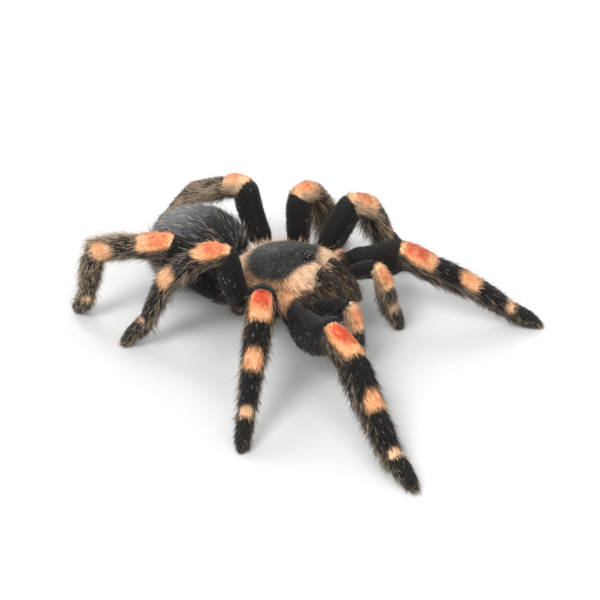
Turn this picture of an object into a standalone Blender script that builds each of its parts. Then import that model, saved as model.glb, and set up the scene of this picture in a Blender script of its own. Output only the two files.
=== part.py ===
"""Red knee tarantula (Brachypelma hamorii), an adult female, as a still life-size model in mid-stride.

The spider faces -Y, its left side is +X and +Z is up. The origin is on the floor, under the middle of the
animal. Sizes below are in millimetres, and MM turns them into metres. Each solid reaches out to the tips of
the hair. A limb is a chain of segments, parted at each joint by a thin cut along the plane that halves the
bend, so every segment is a convex solid. Each tarsus is cut flat where its pad meets the floor.
"""

import math
from dataclasses import dataclass

import bmesh
import bpy
from mathutils import Matrix, Vector

MM = 0.001
GAP = 0.3  # left between neighbouring solids

BODY_HEIGHT = 16.5  # of the middle of the prosoma above the floor
BODY_PITCH = 6.0  # degrees, head up
ABDOMEN_PITCH = 11.0  # degrees, front end up

OVAL_HEIGHT = 1.05  # a limb's section is a little taller than wide
OVAL_WIDTH = 0.96
PAD_DEPTH = 0.3  # how far a tarsus tip is pressed flat on the floor
LIMB_SIDES = 12
COXA_SIDES = 9
COXA_SWELL = 1.2  # its belly's radius over the one it starts with
COXA_ROOT = (0.55, 0.25, 2.4)  # where it starts: shares of the hip's reach ahead and beside, and a drop
DOME_ANGLES = (32, 66)  # degrees, of the rings on a segment's rounded end
SHARP_ANGLE = 40  # degrees between faces, past which an edge is shaded sharp
STEEPEST_DROP = 0.97  # sine of the steepest slope a tarsus may take

LEG_SEGMENTS = ("femur", "patella", "tibia", "metatarsus", "tarsus")
PALP_SEGMENTS = ("femur", "patella", "tibia", "tarsus")


@dataclass(frozen=True)
class LimbSize:
    """One pair of limbs. hip is where the femur starts: ahead of, beside and above the prosoma's middle."""

    hip: tuple
    lengths: tuple  # of the segments
    bellies: tuple  # radius halfway along each segment
    joints: tuple  # radius at the hip, at each joint and at the tip
    coxa_radius: float
    femur_sag: float  # how far the femur's belly hangs below its axis


@dataclass(frozen=True)
class LimbPose:
    """How one limb is held, in degrees."""

    yaw: float  # heading of femur and patella, outward from straight ahead
    lean: float  # tilt of the limb's plane out of the vertical
    turn: float  # added to the heading from the tibia on
    lifts: tuple  # slope of each segment; a tarsus without one turns down until it meets the floor
    toe: float = 0.0  # added to the heading of the tarsus


LIMB_SIZES = {
    "leg1": LimbSize((11.0, 14.2, -2.2), (16.0, 9.4, 13.7, 12.0, 9.3), (5.1, 3.9, 3.8, 3.2, 2.6),
                     (3.3, 4.1, 3.8, 3.3, 2.6, 2.0), 3.2, 2.5),
    "leg2": LimbSize((3.7, 15.6, -2.1), (15.4, 7.9, 11.6, 11.4, 8.4), (4.0, 3.6, 3.5, 2.8, 2.4),
                     (3.3, 3.8, 3.6, 3.0, 2.4, 2.0), 3.4, 0.6),
    "leg3": LimbSize((-4.6, 15.3, -2.4), (15.2, 7.9, 12.0, 13.5, 9.8), (3.7, 3.4, 3.6, 3.1, 2.5),
                     (3.2, 3.5, 3.4, 3.3, 2.6, 2.0), 3.4, 0.5),
    "leg4": LimbSize((-13.2, 12.2, -2.8), (18.2, 8.1, 13.3, 16.5, 8.8), (3.9, 3.5, 3.7, 3.3, 2.6),
                     (3.3, 3.7, 3.5, 3.5, 2.7, 2.1), 3.6, 1.5),
    "palp": LimbSize((14.2, 8.6, -2.8), (12.1, 7.2, 8.4, 8.9), (2.6, 2.7, 2.8, 2.5),
                     (2.15, 2.6, 2.7, 2.6, 1.8), 2.3, 0.3),
}

LIMB_POSES = {
    "leg1_left": LimbPose(16, -18, -3, (24, -33, -24, -38)),
    "leg1_right": LimbPose(26, 12, 1, (11, -9, -34, -32), toe=-3),
    "leg2_left": LimbPose(61, -4, -5, (64, -32, -62, -54)),
    "leg2_right": LimbPose(63, 1, 8, (50, -18, -46, -51)),
    "leg3_left": LimbPose(84, 5, 18, (88, -12, -49, -65)),
    "leg3_right": LimbPose(139, -8, 23, (82, -5, -44, -67)),
    "leg4_left": LimbPose(165, 0, 14, (67, -24, -24, -51)),
    "leg4_right": LimbPose(154, -4, 8, (51, -10, -11, -79), toe=40),
    "palp_left": LimbPose(-2, -15, 9, (39, -74, -84)),
    "palp_right": LimbPose(4, -6, 55, (28, -82, -86)),
}

# Stations along the body, from its rear: (ahead of the prosoma's middle, half width, rise above the rim).
CARAPACE_RIM = 0.8  # of its flat underside, above the prosoma's middle
CARAPACE_SIDES = 24
CARAPACE_STATIONS = (
    (-11.7, 2.6, 1.4), (-10.6, 6.2, 2.6), (-8.0, 9.3, 3.7), (-4.0, 11.0, 4.5), (0.8, 11.4, 5.1),
    (5.0, 10.4, 5.6), (8.4, 8.9, 5.6), (10.9, 7.5, 4.6), (12.1, 5.9, 3.2),
)
# (ahead, half width, half height, middle above the prosoma's)
STERNUM_STATIONS = (
    (-12.0, 2.4, 1.6, -2.6), (-10.4, 5.0, 3.2, -3.2), (-5.0, 8.0, 4.0, -3.4), (2.0, 8.4, 4.0, -3.4),
    (8.0, 6.6, 3.6, -4.0), (11.0, 4.8, 2.8, -4.6), (12.0, 3.4, 1.6, -4.8),
)
STERNUM_SIDES = 14
PEDICEL_RADIUS = 1.9
PEDICEL_END = -14.6
PEDICEL_DROP = 1.6
PEDICEL_SIDES = 10

ABDOMEN_MIDDLE = (-26.5, 1.6)  # ahead of and above the prosoma's middle
ABDOMEN_HALF_LENGTH = 14.9
ABDOMEN_HALF_WIDTH = 12.2
ABDOMEN_HALF_HEIGHT = 11.6
ABDOMEN_REAR_FULLNESS = 0.05  # shifts the widest part backward
ABDOMEN_RINGS = 10
ABDOMEN_SIDES = 24

CHELICERA_START = (9.0, 2.8)  # ahead of and above the prosoma's middle
CHELICERA_SLOPE = -35.0
CHELICERA_SIDE = 2.6  # its middle, beside the body's midline
# (along it, half width, half height)
CHELICERA_STATIONS = (
    (0.0, 2.5, 3.9), (3.0, 2.8, 4.5), (6.0, 2.9, 4.7), (8.5, 2.8, 4.3), (11.0, 2.5, 3.3), (12.8, 1.8, 2.1),
    (13.7, 0.9, 1.0),
)
CHELICERA_SIDES = 14
FANG_ROOT = (19.4, 2.5, -7.9)
FANG_TILT = 0.05
FANG_SIDES = 8
FANG_REACH = 6.0
FANG_HOOK = 1.4  # how far past its deepest bend the fang runs, as a share of half a wave
FANG_DROP = 2.4
FANG_RADII = (1.1, 0.95, 0.75, 0.5, 0.28)

EYE_MOUND_MIDDLE = (8.0, 6.3)
EYE_MOUND_HALF_SIZE = (1.7, 1.1, 1.4)  # across, up, along
EYE_MOUND_ROOM = 0.15  # added to the gap round it
ELLIPSOID_FACES = (12, 6)  # around and from pole to pole
EYE_RADIUS = 0.45
# (beside the mound's middle, above it, ahead of it), for each eye of one side
EYE_PLACES = ((0.6, 0.7, 0.8), (1.3, 0.35, 0.65), (1.35, 0.45, -0.35), (0.7, 0.8, -0.35))

SPINNERET_PLACE = (-40.2, 2.4, -3.2)
SPINNERET_RADII = (1.5, 1.5, 1.3, 1.2, 0.9, 0.5)
SPINNERET_LENGTH = 8.0
SPINNERET_SPLAY = 0.15
SPINNERET_DIP = 0.1
SPINNERET_SIDES = 8

BLACK_VELVET = (0.016, 0.014, 0.013)
KNEE_ORANGE = (0.72, 0.13, 0.035)
BUFF = (0.42, 0.24, 0.13)
DARK_BROWN = (0.05, 0.034, 0.026)
GLOSS_BLACK = (0.006, 0.005, 0.005)

SEGMENT_COLOURS = {"femur": BLACK_VELVET, "patella": KNEE_ORANGE, "tibia": BLACK_VELVET,
                   "metatarsus": DARK_BROWN, "tarsus": BLACK_VELVET}


@dataclass(frozen=True)
class Ring:
    """An oval ring of a lofted form, square to the form's own Z axis."""

    z: float
    half_x: float
    half_y: float
    y: float = 0.0


def principled(name, colour, roughness):
    """A plain material of one colour."""
    material = bpy.data.materials.new(name)
    material.use_nodes = True
    shader = material.node_tree.nodes["Principled BSDF"]
    shader.inputs["Base Color"].default_value = (*colour, 1.0)
    shader.inputs["Roughness"].default_value = roughness
    shader.inputs["Metallic"].default_value = 0.0
    return material


def loft(rings, sides):
    """A closed form through oval rings, with a flat face at each end."""
    form = bmesh.new()
    loops = []
    for ring in rings:
        verts = bmesh.ops.create_circle(form, segments=sides, radius=1.0)["verts"]
        members = set(verts)
        loops.append([edge for edge in form.edges if edge.verts[0] in members and edge.verts[1] in members])
        for vert in verts:
            vert.co = Vector((vert.co.x * ring.half_x, ring.y + vert.co.y * ring.half_y, ring.z))
    for lower, upper in zip(loops, loops[1:]):
        bmesh.ops.bridge_loops(form, edges=lower + upper)
    for end in (loops[0], loops[-1]):
        bmesh.ops.edgeloop_fill(form, edges=end)
    bmesh.ops.recalc_face_normals(form, faces=form.faces)
    return form


def cut_away(form, point, normal):
    """Removes what lies on the normal's side of a plane and closes the cut with a flat face."""
    everything = form.verts[:] + form.edges[:] + form.faces[:]
    cut = bmesh.ops.bisect_plane(form, geom=everything, dist=1e-5, plane_co=point, plane_no=normal,
                                 clear_outer=True)
    rim = [item for item in cut["geom_cut"] if isinstance(item, bmesh.types.BMEdge)]
    bmesh.ops.edgeloop_fill(form, edges=rim)
    bmesh.ops.recalc_face_normals(form, faces=form.faces)


def placed_object(name, form, place, parent, colour, roughness=0.8):
    """An object of a form modelled in millimetres, put at place, a matrix in millimetres under parent."""
    mesh = bpy.data.meshes.new(name)
    form.transform(Matrix.Scale(MM, 4))
    form.to_mesh(mesh)
    form.free()
    mesh.shade_smooth()
    mesh.set_sharp_from_angle(angle=math.radians(SHARP_ANGLE))
    item = bpy.data.objects.new(name, mesh)
    bpy.context.scene.collection.objects.link(item)
    item.parent = parent
    item.matrix_local = Matrix.Translation(place.translation * MM) @ place.to_3x3().to_4x4()
    mesh.materials.append(principled(name, colour, roughness))
    return item


def guide(item):
    """Marks an object as a guide for Boolean modifiers, not a part of the model."""
    item.hide_render = True
    item.display_type = "WIRE"
    return item


def boolean(item, operation, guides):
    """Adds one exact Boolean modifier for each guide."""
    for other in guides:
        modifier = item.modifiers.new(other.name, "BOOLEAN")
        modifier.operation = operation
        modifier.solver = "EXACT"
        modifier.object = other


def empty(name, parent=None):
    """An empty that carries other objects."""
    item = bpy.data.objects.new(name, None)
    bpy.context.scene.collection.objects.link(item)
    item.parent = parent
    return item


def aim(start, direction, dorsal):
    """The place of a form whose Z runs along direction and whose Y faces dorsal."""
    along = direction.normalized()
    across = dorsal.cross(along).normalized()
    upward = along.cross(across)
    turn = Matrix((across, upward, along)).transposed()
    return Matrix.Translation(start) @ turn.to_4x4()


def body_point(ahead, left, above):
    """A point given from the prosoma's middle, in the body's own frame."""
    return Vector((left, -ahead, above))


def body_turn():
    """The prosoma's frame: raised above the floor and pitched head up."""
    return Matrix.Translation((0, 0, BODY_HEIGHT)) @ Matrix.Rotation(math.radians(-BODY_PITCH), 4, "X")


def lengthwise(ahead, left, above, slope=0.0):
    """The place of a form that runs forward along the body, climbing at slope degrees."""
    rise = math.radians(slope)
    direction = Vector((0, -math.cos(rise), math.sin(rise)))
    return aim(body_point(ahead, left, above), direction, Vector((0, 0, 1)))


def limb_joints(size, pose, side):
    """The joints from the hip to the middle of the rounded tip, with each segment's dorsal direction."""
    ahead, beside, above = size.hip
    joints = [body_turn() @ body_point(ahead, side * beside, above)]
    dorsals = []
    tip_radius = size.joints[-1]
    for index, length in enumerate(size.lengths):
        is_tarsus = index == len(size.lengths) - 1
        heading = pose.yaw + (pose.turn if index > 1 else 0.0) + (pose.toe if is_tarsus else 0.0)
        heading = math.radians(heading)
        level = Vector((side * math.sin(heading), -math.cos(heading), 0.0))
        lean = math.radians(pose.lean)
        upright = math.cos(lean) * Vector((0, 0, 1)) + math.sin(lean) * Vector((0, 0, 1)).cross(level)
        if is_tarsus:
            length -= tip_radius
        if index < len(pose.lifts):
            lift = math.radians(pose.lifts[index])
        else:
            drop = joints[-1].z - (tip_radius * OVAL_WIDTH - PAD_DEPTH)
            lift = -math.asin(min(STEEPEST_DROP, drop / (length * math.cos(lean))))
        joints.append(joints[-1] + length * (math.cos(lift) * level + math.sin(lift) * upright))
        dorsals.append(math.cos(lift) * upright - math.sin(lift) * level)
    return joints, dorsals


def segment_rings(length, start, belly, end, sag=0.0):
    """Rings of a segment: domed ends and a side that swells through start, belly and end radii."""
    steps = 4 if sag else 3
    rings = []
    for angle in reversed(DOME_ANGLES):
        turn = math.radians(angle)
        rings.append((-start * math.sin(turn), start * math.cos(turn), 0.0))
    for step in range(steps + 1):
        share = step / steps
        swell = 4 * share * (1 - share)
        radius = start + (end - start) * share + (belly - (start + end) / 2) * swell
        rings.append((share * length, radius, -sag * swell))
    for angle in DOME_ANGLES:
        turn = math.radians(angle)
        rings.append((length + end * math.sin(turn), end * math.cos(turn), 0.0))
    return [Ring(z, radius * OVAL_WIDTH, radius * OVAL_HEIGHT, y) for z, radius, y in rings]


def joint_plane(before, joint, after):
    """The direction that halves the bend at a joint."""
    return ((joint - before).normalized() + (after - joint).normalized()).normalized()


def limb(name, size, pose, side, segments, root):
    """One limb's segments, and the plane at its hip that its coxa stops at."""
    joints, dorsals = limb_joints(size, pose, side)
    coxa_start = body_turn() @ coxa_origin(size, side)
    chain = [coxa_start] + joints
    for index, segment in enumerate(segments):
        start, end = joints[index], joints[index + 1]
        sag = size.femur_sag if index == 0 else 0.0
        form = loft(segment_rings((end - start).length, size.joints[index], size.bellies[index],
                                  size.joints[index + 1], sag), LIMB_SIDES)
        place = aim(start, end - start, dorsals[index])
        into = place.inverted()
        near = joint_plane(chain[index], start, end)
        cut_away(form, into @ (start + near * GAP / 2), into.to_3x3() @ -near)
        if index < len(segments) - 1:
            far = joint_plane(start, end, joints[index + 2])
            cut_away(form, into @ (end - far * GAP / 2), into.to_3x3() @ far)
        elif index >= len(pose.lifts):
            cut_away(form, into @ Vector((end.x, end.y, 0.0)), into.to_3x3() @ Vector((0, 0, -1)))
        placed_object(f"{name}_{segment}", form, place, root, SEGMENT_COLOURS[segment])
    return joint_plane(coxa_start, joints[0], joints[1])


def coxa_origin(size, side):
    """Where a coxa starts, inside the underbody."""
    ahead, beside, above = size.hip
    ahead_share, beside_share, drop = COXA_ROOT
    return body_point(ahead * ahead_share, side * beside * beside_share, above - drop)


def coxa(name, size, side, plane, prosoma):
    """One coxa with its trochanter, a guide that is joined to the underbody."""
    start = coxa_origin(size, side)
    end = body_point(size.hip[0], side * size.hip[1], size.hip[2])
    form = loft(segment_rings((end - start).length, size.coxa_radius, size.coxa_radius * COXA_SWELL,
                              size.joints[0]), COXA_SIDES)
    place = aim(start, end - start, Vector((0, 0, 1)))
    into = place.inverted()
    normal = body_turn().inverted().to_3x3() @ plane
    cut_away(form, into @ (end - normal * GAP / 2), into.to_3x3() @ normal)
    return guide(placed_object(name, form, place, prosoma, DARK_BROWN))


def carapace_form(grow=0.0):
    """The domed shield over the prosoma, flat underneath."""
    last = len(CARAPACE_STATIONS) - 1
    rings = []
    for index, (ahead, half_width, rise) in enumerate(CARAPACE_STATIONS):
        shift = {0: -grow, last: grow}.get(index, 0.0)
        rings.append(Ring(ahead + shift, half_width + grow, rise + grow, CARAPACE_RIM))
    form = loft(rings, CARAPACE_SIDES)
    cut_away(form, Vector((0, CARAPACE_RIM - grow, 0)), Vector((0, -1, 0)))
    return form


def abdomen_form(grow=0.0):
    """The egg-shaped abdomen, fullest behind its middle."""
    rings = []
    for index in range(1, ABDOMEN_RINGS):
        angle = math.pi * index / ABDOMEN_RINGS
        girth = math.sin(angle)
        z = math.cos(angle) * (ABDOMEN_HALF_LENGTH + grow)
        z -= ABDOMEN_REAR_FULLNESS * ABDOMEN_HALF_LENGTH * girth
        rings.append(Ring(z, girth * (ABDOMEN_HALF_WIDTH + grow), girth * (ABDOMEN_HALF_HEIGHT + grow)))
    return loft(rings, ABDOMEN_SIDES)


def chelicera_form(side, grow=0.0):
    """One jaw's basal piece, flat against its neighbour."""
    last = len(CHELICERA_STATIONS) - 1
    rings = []
    for index, (along, half_width, half_height) in enumerate(CHELICERA_STATIONS):
        shift = {0: -grow, last: grow}.get(index, 0.0)
        rings.append(Ring(along + shift, half_width + grow, half_height + grow))
    form = loft(rings, CHELICERA_SIDES)
    if grow == 0.0:
        cut_away(form, Vector((-side * (CHELICERA_SIDE - GAP / 2), 0, 0)), Vector((-side, 0, 0)))
    return form


def fang_form():
    """A curved, tapering fang, folded back under its jaw."""
    steps = len(FANG_RADII) - 1
    rings = [Ring(FANG_REACH * step / steps, radius, radius) for step, radius in enumerate(FANG_RADII)]
    form = loft(rings, FANG_SIDES)
    for vert in form.verts:
        vert.co.y -= FANG_DROP * math.sin(math.pi * vert.co.z / FANG_REACH / FANG_HOOK)
    return form


def ellipsoid_form(half_size):
    """An ellipsoid."""
    form = bmesh.new()
    around, rows = ELLIPSOID_FACES
    bmesh.ops.create_uvsphere(form, u_segments=around, v_segments=rows, radius=1.0)
    bmesh.ops.scale(form, vec=half_size, verts=form.verts)
    return form


def eye_mound(prosoma):
    """The ocular tubercle with its eight eyes, and the guide that makes room for it in the carapace."""
    ahead, above = EYE_MOUND_MIDDLE
    place = lengthwise(ahead, 0, above)
    form = ellipsoid_form(EYE_MOUND_HALF_SIZE)
    mound = placed_object("eye_mound", form, place, prosoma, GLOSS_BLACK, 0.2)
    eyes = []
    for side in (-1, 1):
        for number, (beside, over, along) in enumerate(EYE_PLACES):
            sphere = bmesh.new()
            bmesh.ops.create_icosphere(sphere, subdivisions=1, radius=EYE_RADIUS)
            spot = lengthwise(ahead + along, side * beside, above + over)
            name = f"guide_eye_{number}_{'right' if side < 0 else 'left'}"
            eyes.append(guide(placed_object(name, sphere, spot, prosoma, GLOSS_BLACK)))
    boolean(mound, "UNION", eyes)
    room = ellipsoid_form([size + GAP + EYE_MOUND_ROOM for size in EYE_MOUND_HALF_SIZE])
    return guide(placed_object("guide_eye_room", room, place, prosoma, GLOSS_BLACK))


def jaws(prosoma):
    """Both chelicerae with their fangs, and the guides that keep the underbody clear of them."""
    rooms = []
    ahead, above = CHELICERA_START
    shield_front = CARAPACE_STATIONS[-1][0]
    for side, word in ((-1, "right"), (1, "left")):
        place = lengthwise(ahead, side * CHELICERA_SIDE, above, CHELICERA_SLOPE)
        backward = place.inverted().to_3x3() @ Vector((0, 1, 0))
        jaw_form = chelicera_form(side)
        cut_away(jaw_form, place.inverted() @ body_point(shield_front + GAP, 0, 0), backward)
        placed_object(f"chelicera_{word}", jaw_form, place, prosoma, DARK_BROWN)
        room_form = chelicera_form(side, GAP)
        cut_away(room_form, place.inverted() @ body_point(shield_front, 0, 0), backward)
        rooms.append(guide(placed_object(f"guide_chelicera_{word}", room_form, place, prosoma, DARK_BROWN)))
        root_ahead, root_beside, root_above = FANG_ROOT
        root = body_point(root_ahead, side * root_beside, root_above)
        fang_place = aim(root, Vector((0, 1, -FANG_TILT)), Vector((0, 0, 1)))
        placed_object(f"fang_{word}", fang_form(), fang_place, prosoma, GLOSS_BLACK, 0.25)
    return rooms


def underbody(prosoma, coxae, rooms):
    """The sternum with its coxae and the narrow pedicel, cleared of the carapace and the jaws."""
    rings = [Ring(ahead, half_width, half_height, middle)
             for ahead, half_width, half_height, middle in STERNUM_STATIONS]
    item = placed_object("underbody", loft(rings, STERNUM_SIDES), lengthwise(0, 0, 0), prosoma, DARK_BROWN)
    ends = (PEDICEL_END, STERNUM_STATIONS[2][0])
    stalk = loft([Ring(ahead, PEDICEL_RADIUS, PEDICEL_RADIUS) for ahead in ends], PEDICEL_SIDES)
    place = lengthwise(0, 0, -PEDICEL_DROP)
    pedicel = guide(placed_object("guide_pedicel", stalk, place, prosoma, DARK_BROWN))
    boolean(item, "UNION", coxae + [pedicel])
    boolean(item, "DIFFERENCE", rooms)
    return item


def abdomen(prosoma):
    """The abdomen with its two long spinnerets, and the guide that keeps others clear of it."""
    ahead, above = ABDOMEN_MIDDLE
    slope = ABDOMEN_PITCH - BODY_PITCH
    place = lengthwise(ahead, 0, above, slope)
    placed_object("abdomen", abdomen_form(), place, prosoma, BLACK_VELVET)
    room = guide(placed_object("guide_abdomen", abdomen_form(GAP), place, prosoma, BLACK_VELVET))
    back, beside, over = SPINNERET_PLACE
    steps = len(SPINNERET_RADII) - 1
    for side, word in ((-1, "right"), (1, "left")):
        form = loft([Ring(SPINNERET_LENGTH * step / steps, radius, radius)
                     for step, radius in enumerate(SPINNERET_RADII)], SPINNERET_SIDES)
        backward = Vector((side * SPINNERET_SPLAY, 1, -SPINNERET_DIP))
        spot = aim(body_point(back, side * beside, over), backward, Vector((0, 0, 1)))
        item = placed_object(f"spinneret_{word}", form, spot, prosoma, DARK_BROWN)
        boolean(item, "DIFFERENCE", [room])
    return room


def centre_on_floor(root):
    """Moves the model so that the origin is under the middle of its bounding box."""
    bpy.context.view_layer.update()
    graph = bpy.context.evaluated_depsgraph_get()
    corners = []
    for item in bpy.data.objects:
        if item.type == "MESH" and not item.hide_render:
            shown = item.evaluated_get(graph)
            corners += [shown.matrix_world @ vert.co for vert in shown.data.vertices]
    for axis in (0, 1):
        values = [corner[axis] for corner in corners]
        root.location[axis] = -(min(values) + max(values)) / 2


def main():
    """Builds the spider."""
    for item in list(bpy.data.objects):
        bpy.data.objects.remove(item)
    root = empty("tarantula")
    prosoma = empty("prosoma", root)
    turn = body_turn()
    prosoma.matrix_local = Matrix.Translation(turn.translation * MM) @ turn.to_3x3().to_4x4()
    coxae = []
    for name, pose in LIMB_POSES.items():
        kind, word = name.split("_")
        side = -1 if word == "right" else 1
        segments = PALP_SEGMENTS if kind == "palp" else LEG_SEGMENTS
        plane = limb(name, LIMB_SIZES[kind], pose, side, segments, root)
        coxae.append(coxa(f"guide_coxa_{name}", LIMB_SIZES[kind], side, plane, prosoma))
    place = lengthwise(0, 0, 0)
    shield = placed_object("carapace", carapace_form(), place, prosoma, BUFF)
    shield_room = guide(placed_object("guide_carapace", carapace_form(GAP), place, prosoma, BUFF))
    boolean(shield, "DIFFERENCE", [eye_mound(prosoma)])
    underbody(prosoma, coxae, [shield_room] + jaws(prosoma) + [abdomen(prosoma)])
    centre_on_floor(root)


main()
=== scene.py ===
"""The looks of a life-size red knee tarantula: a skin, a coat of solid tufts, eyes, fangs and claws.

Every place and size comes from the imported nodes. Each node is read as a part with its own axes, the skin is
made from the parts' own shapes, and the coat grows on that skin. A point's markings follow from where it lies
on its part: how far along it, and how far round from its upper side.
"""

import logging
import math
from dataclasses import dataclass, field
from enum import Enum

import bmesh
import bpy
import numpy as np
from mathutils import Matrix, Vector
from mathutils.bvhtree import BVHTree

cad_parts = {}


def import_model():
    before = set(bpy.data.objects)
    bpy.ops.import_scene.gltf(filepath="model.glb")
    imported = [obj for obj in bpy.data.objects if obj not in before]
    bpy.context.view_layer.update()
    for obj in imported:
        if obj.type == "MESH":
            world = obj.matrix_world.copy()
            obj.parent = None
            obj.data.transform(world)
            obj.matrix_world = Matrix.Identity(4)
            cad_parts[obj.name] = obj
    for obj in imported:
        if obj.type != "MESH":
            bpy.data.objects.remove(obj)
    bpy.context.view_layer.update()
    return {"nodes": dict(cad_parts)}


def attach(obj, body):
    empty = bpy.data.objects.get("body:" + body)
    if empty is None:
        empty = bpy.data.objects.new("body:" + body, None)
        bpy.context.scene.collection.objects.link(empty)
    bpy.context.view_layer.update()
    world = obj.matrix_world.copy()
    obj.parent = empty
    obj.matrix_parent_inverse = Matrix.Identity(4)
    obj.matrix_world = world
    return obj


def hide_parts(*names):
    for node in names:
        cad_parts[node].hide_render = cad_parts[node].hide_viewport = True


Colour = tuple[float, float, float]
Share = np.ndarray | float
Shares = tuple[Share, Share, Share]  # knee red, band orange and pale cream; on the abdomen the band is its painted sheen

MM = 0.001
TINY = 1e-12  # the least length that a vector is divided by
UP = Vector((0, 0, 1))
HEAD_WAY = Vector((0, -1, 0))
ROOT_BODY = "root"
BAKE_MAP = "OFBake"
MARKS_AND_SHEEN = "marks"  # how much of knee red, band orange and pale cream a point has; on the abdomen the band is its painted sheen
STRAND = "strand"  # how far along its hair a point is, the hair's tone, and how much of a guard hair it is
SEED = 7

log = logging.getLogger("tarantula")


class Kind(Enum):
    """What a part of the body is."""

    FEMUR = "femur"
    PATELLA = "patella"
    TIBIA = "tibia"
    METATARSUS = "metatarsus"
    TARSUS = "tarsus"
    CARAPACE = "carapace"
    ABDOMEN = "abdomen"
    JAW = "chelicera"
    UNDERBODY = "underbody"
    SPINNERET = "spinneret"
    EYES = "eye_mound"
    FANG = "fang"


LIMB_KINDS = (Kind.FEMUR, Kind.PATELLA, Kind.TIBIA, Kind.METATARSUS, Kind.TARSUS)
PALP_KINDS = (Kind.FEMUR, Kind.PATELLA, Kind.TIBIA, Kind.TARSUS)
OUTER_KINDS = (Kind.TIBIA, Kind.METATARSUS, Kind.TARSUS)
SIDES = ("left", "right")
LEG_PAIRS = (1, 2, 3, 4)
REAR_PAIRS = (3, 4)
PALP_PAIR = 0
NO_PAIR = -1


def unit(vectors: np.ndarray) -> np.ndarray:
    """Vectors of length one, along the last axis."""
    return vectors / np.maximum(np.linalg.norm(vectors, axis=-1, keepdims=True), TINY)


@dataclass(frozen=True)
class Step:
    """A smooth change of whatever is measured, between a low and a high value."""

    low: float | np.ndarray
    high: float | np.ndarray

    def up(self, values: np.ndarray) -> np.ndarray:
        """0 below the step and 1 above it."""
        share = np.clip((values - self.low) / (self.high - self.low), 0.0, 1.0)
        return share * share * (3.0 - 2.0 * share)

    def down(self, values: np.ndarray) -> np.ndarray:
        """1 below the step and 0 above it."""
        return 1 - self.up(values)

    def moved(self, distance: float) -> "Step":
        """The same step, further up by a distance."""
        return Step(self.low + distance, self.high + distance)


@dataclass(frozen=True)
class LimbLook:
    """What sets one limb's coat apart from the others'."""

    knee_red: float = 1.0  # how deep the red of its knee is
    knee_start: Step = Step(-0.3, -0.2)  # where along the patella its orange starts
    band_shift: float = 0.0  # how much further out its bands lie
    band_share: float = 1.0  # how much of its bands shows
    pale_flanks: bool = False  # whether its patella's sides are buff
    long_hair: float = 1.0  # length of its long hair, against the others'
    spread: float = 0.0  # how far its long hair stands out at the sides
    long_guard: float | None = None  # share of pale hairs in its long hair, if it has its own
    brown_coat: float | None = None  # least share of pale hairs on its outer segments, if they are brown
    twists: dict[Kind, float] = field(default_factory=dict)  # turn of a segment's upper side, in degrees


LIMB_LOOKS = {
    "palp_left": LimbLook(0.4, pale_flanks=True, brown_coat=0.35),
    "palp_right": LimbLook(0.4, pale_flanks=True, long_hair=1.9),
    "leg1_left": LimbLook(0.85, long_hair=0.85, spread=0.15),
    "leg1_right": LimbLook(1.0, band_shift=0.09, long_hair=1.05, spread=0.4),
    "leg2_left": LimbLook(0.48, band_share=0.6, pale_flanks=True, long_hair=1.5, spread=0.75, long_guard=0.4,
                          brown_coat=0.12),
    "leg2_right": LimbLook(1.0, knee_start=Step(0.05, 0.09), long_hair=0.9, spread=0.25),
    "leg3_left": LimbLook(0.42, band_share=0.4, pale_flanks=True, long_hair=2.8, spread=0.9, long_guard=0.5,
                          brown_coat=0.35),
    "leg3_right": LimbLook(0.75, long_hair=1.15, spread=0.3, long_guard=0.32, brown_coat=0.14,
                           twists={Kind.PATELLA: 15.0, Kind.TIBIA: 35.0, Kind.METATARSUS: 20.0}),
    "leg4_left": LimbLook(0.42, band_share=0.12, pale_flanks=True, long_hair=1.3, long_guard=0.85,
                          brown_coat=0.45),
    "leg4_right": LimbLook(0.58, long_hair=1.15, long_guard=0.75, brown_coat=0.5,
                           twists={Kind.PATELLA: 25.0, Kind.TIBIA: 75.0, Kind.METATARSUS: 105.0,
                                   Kind.TARSUS: 90.0}),
}
PLAIN_LOOK = LimbLook()


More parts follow.
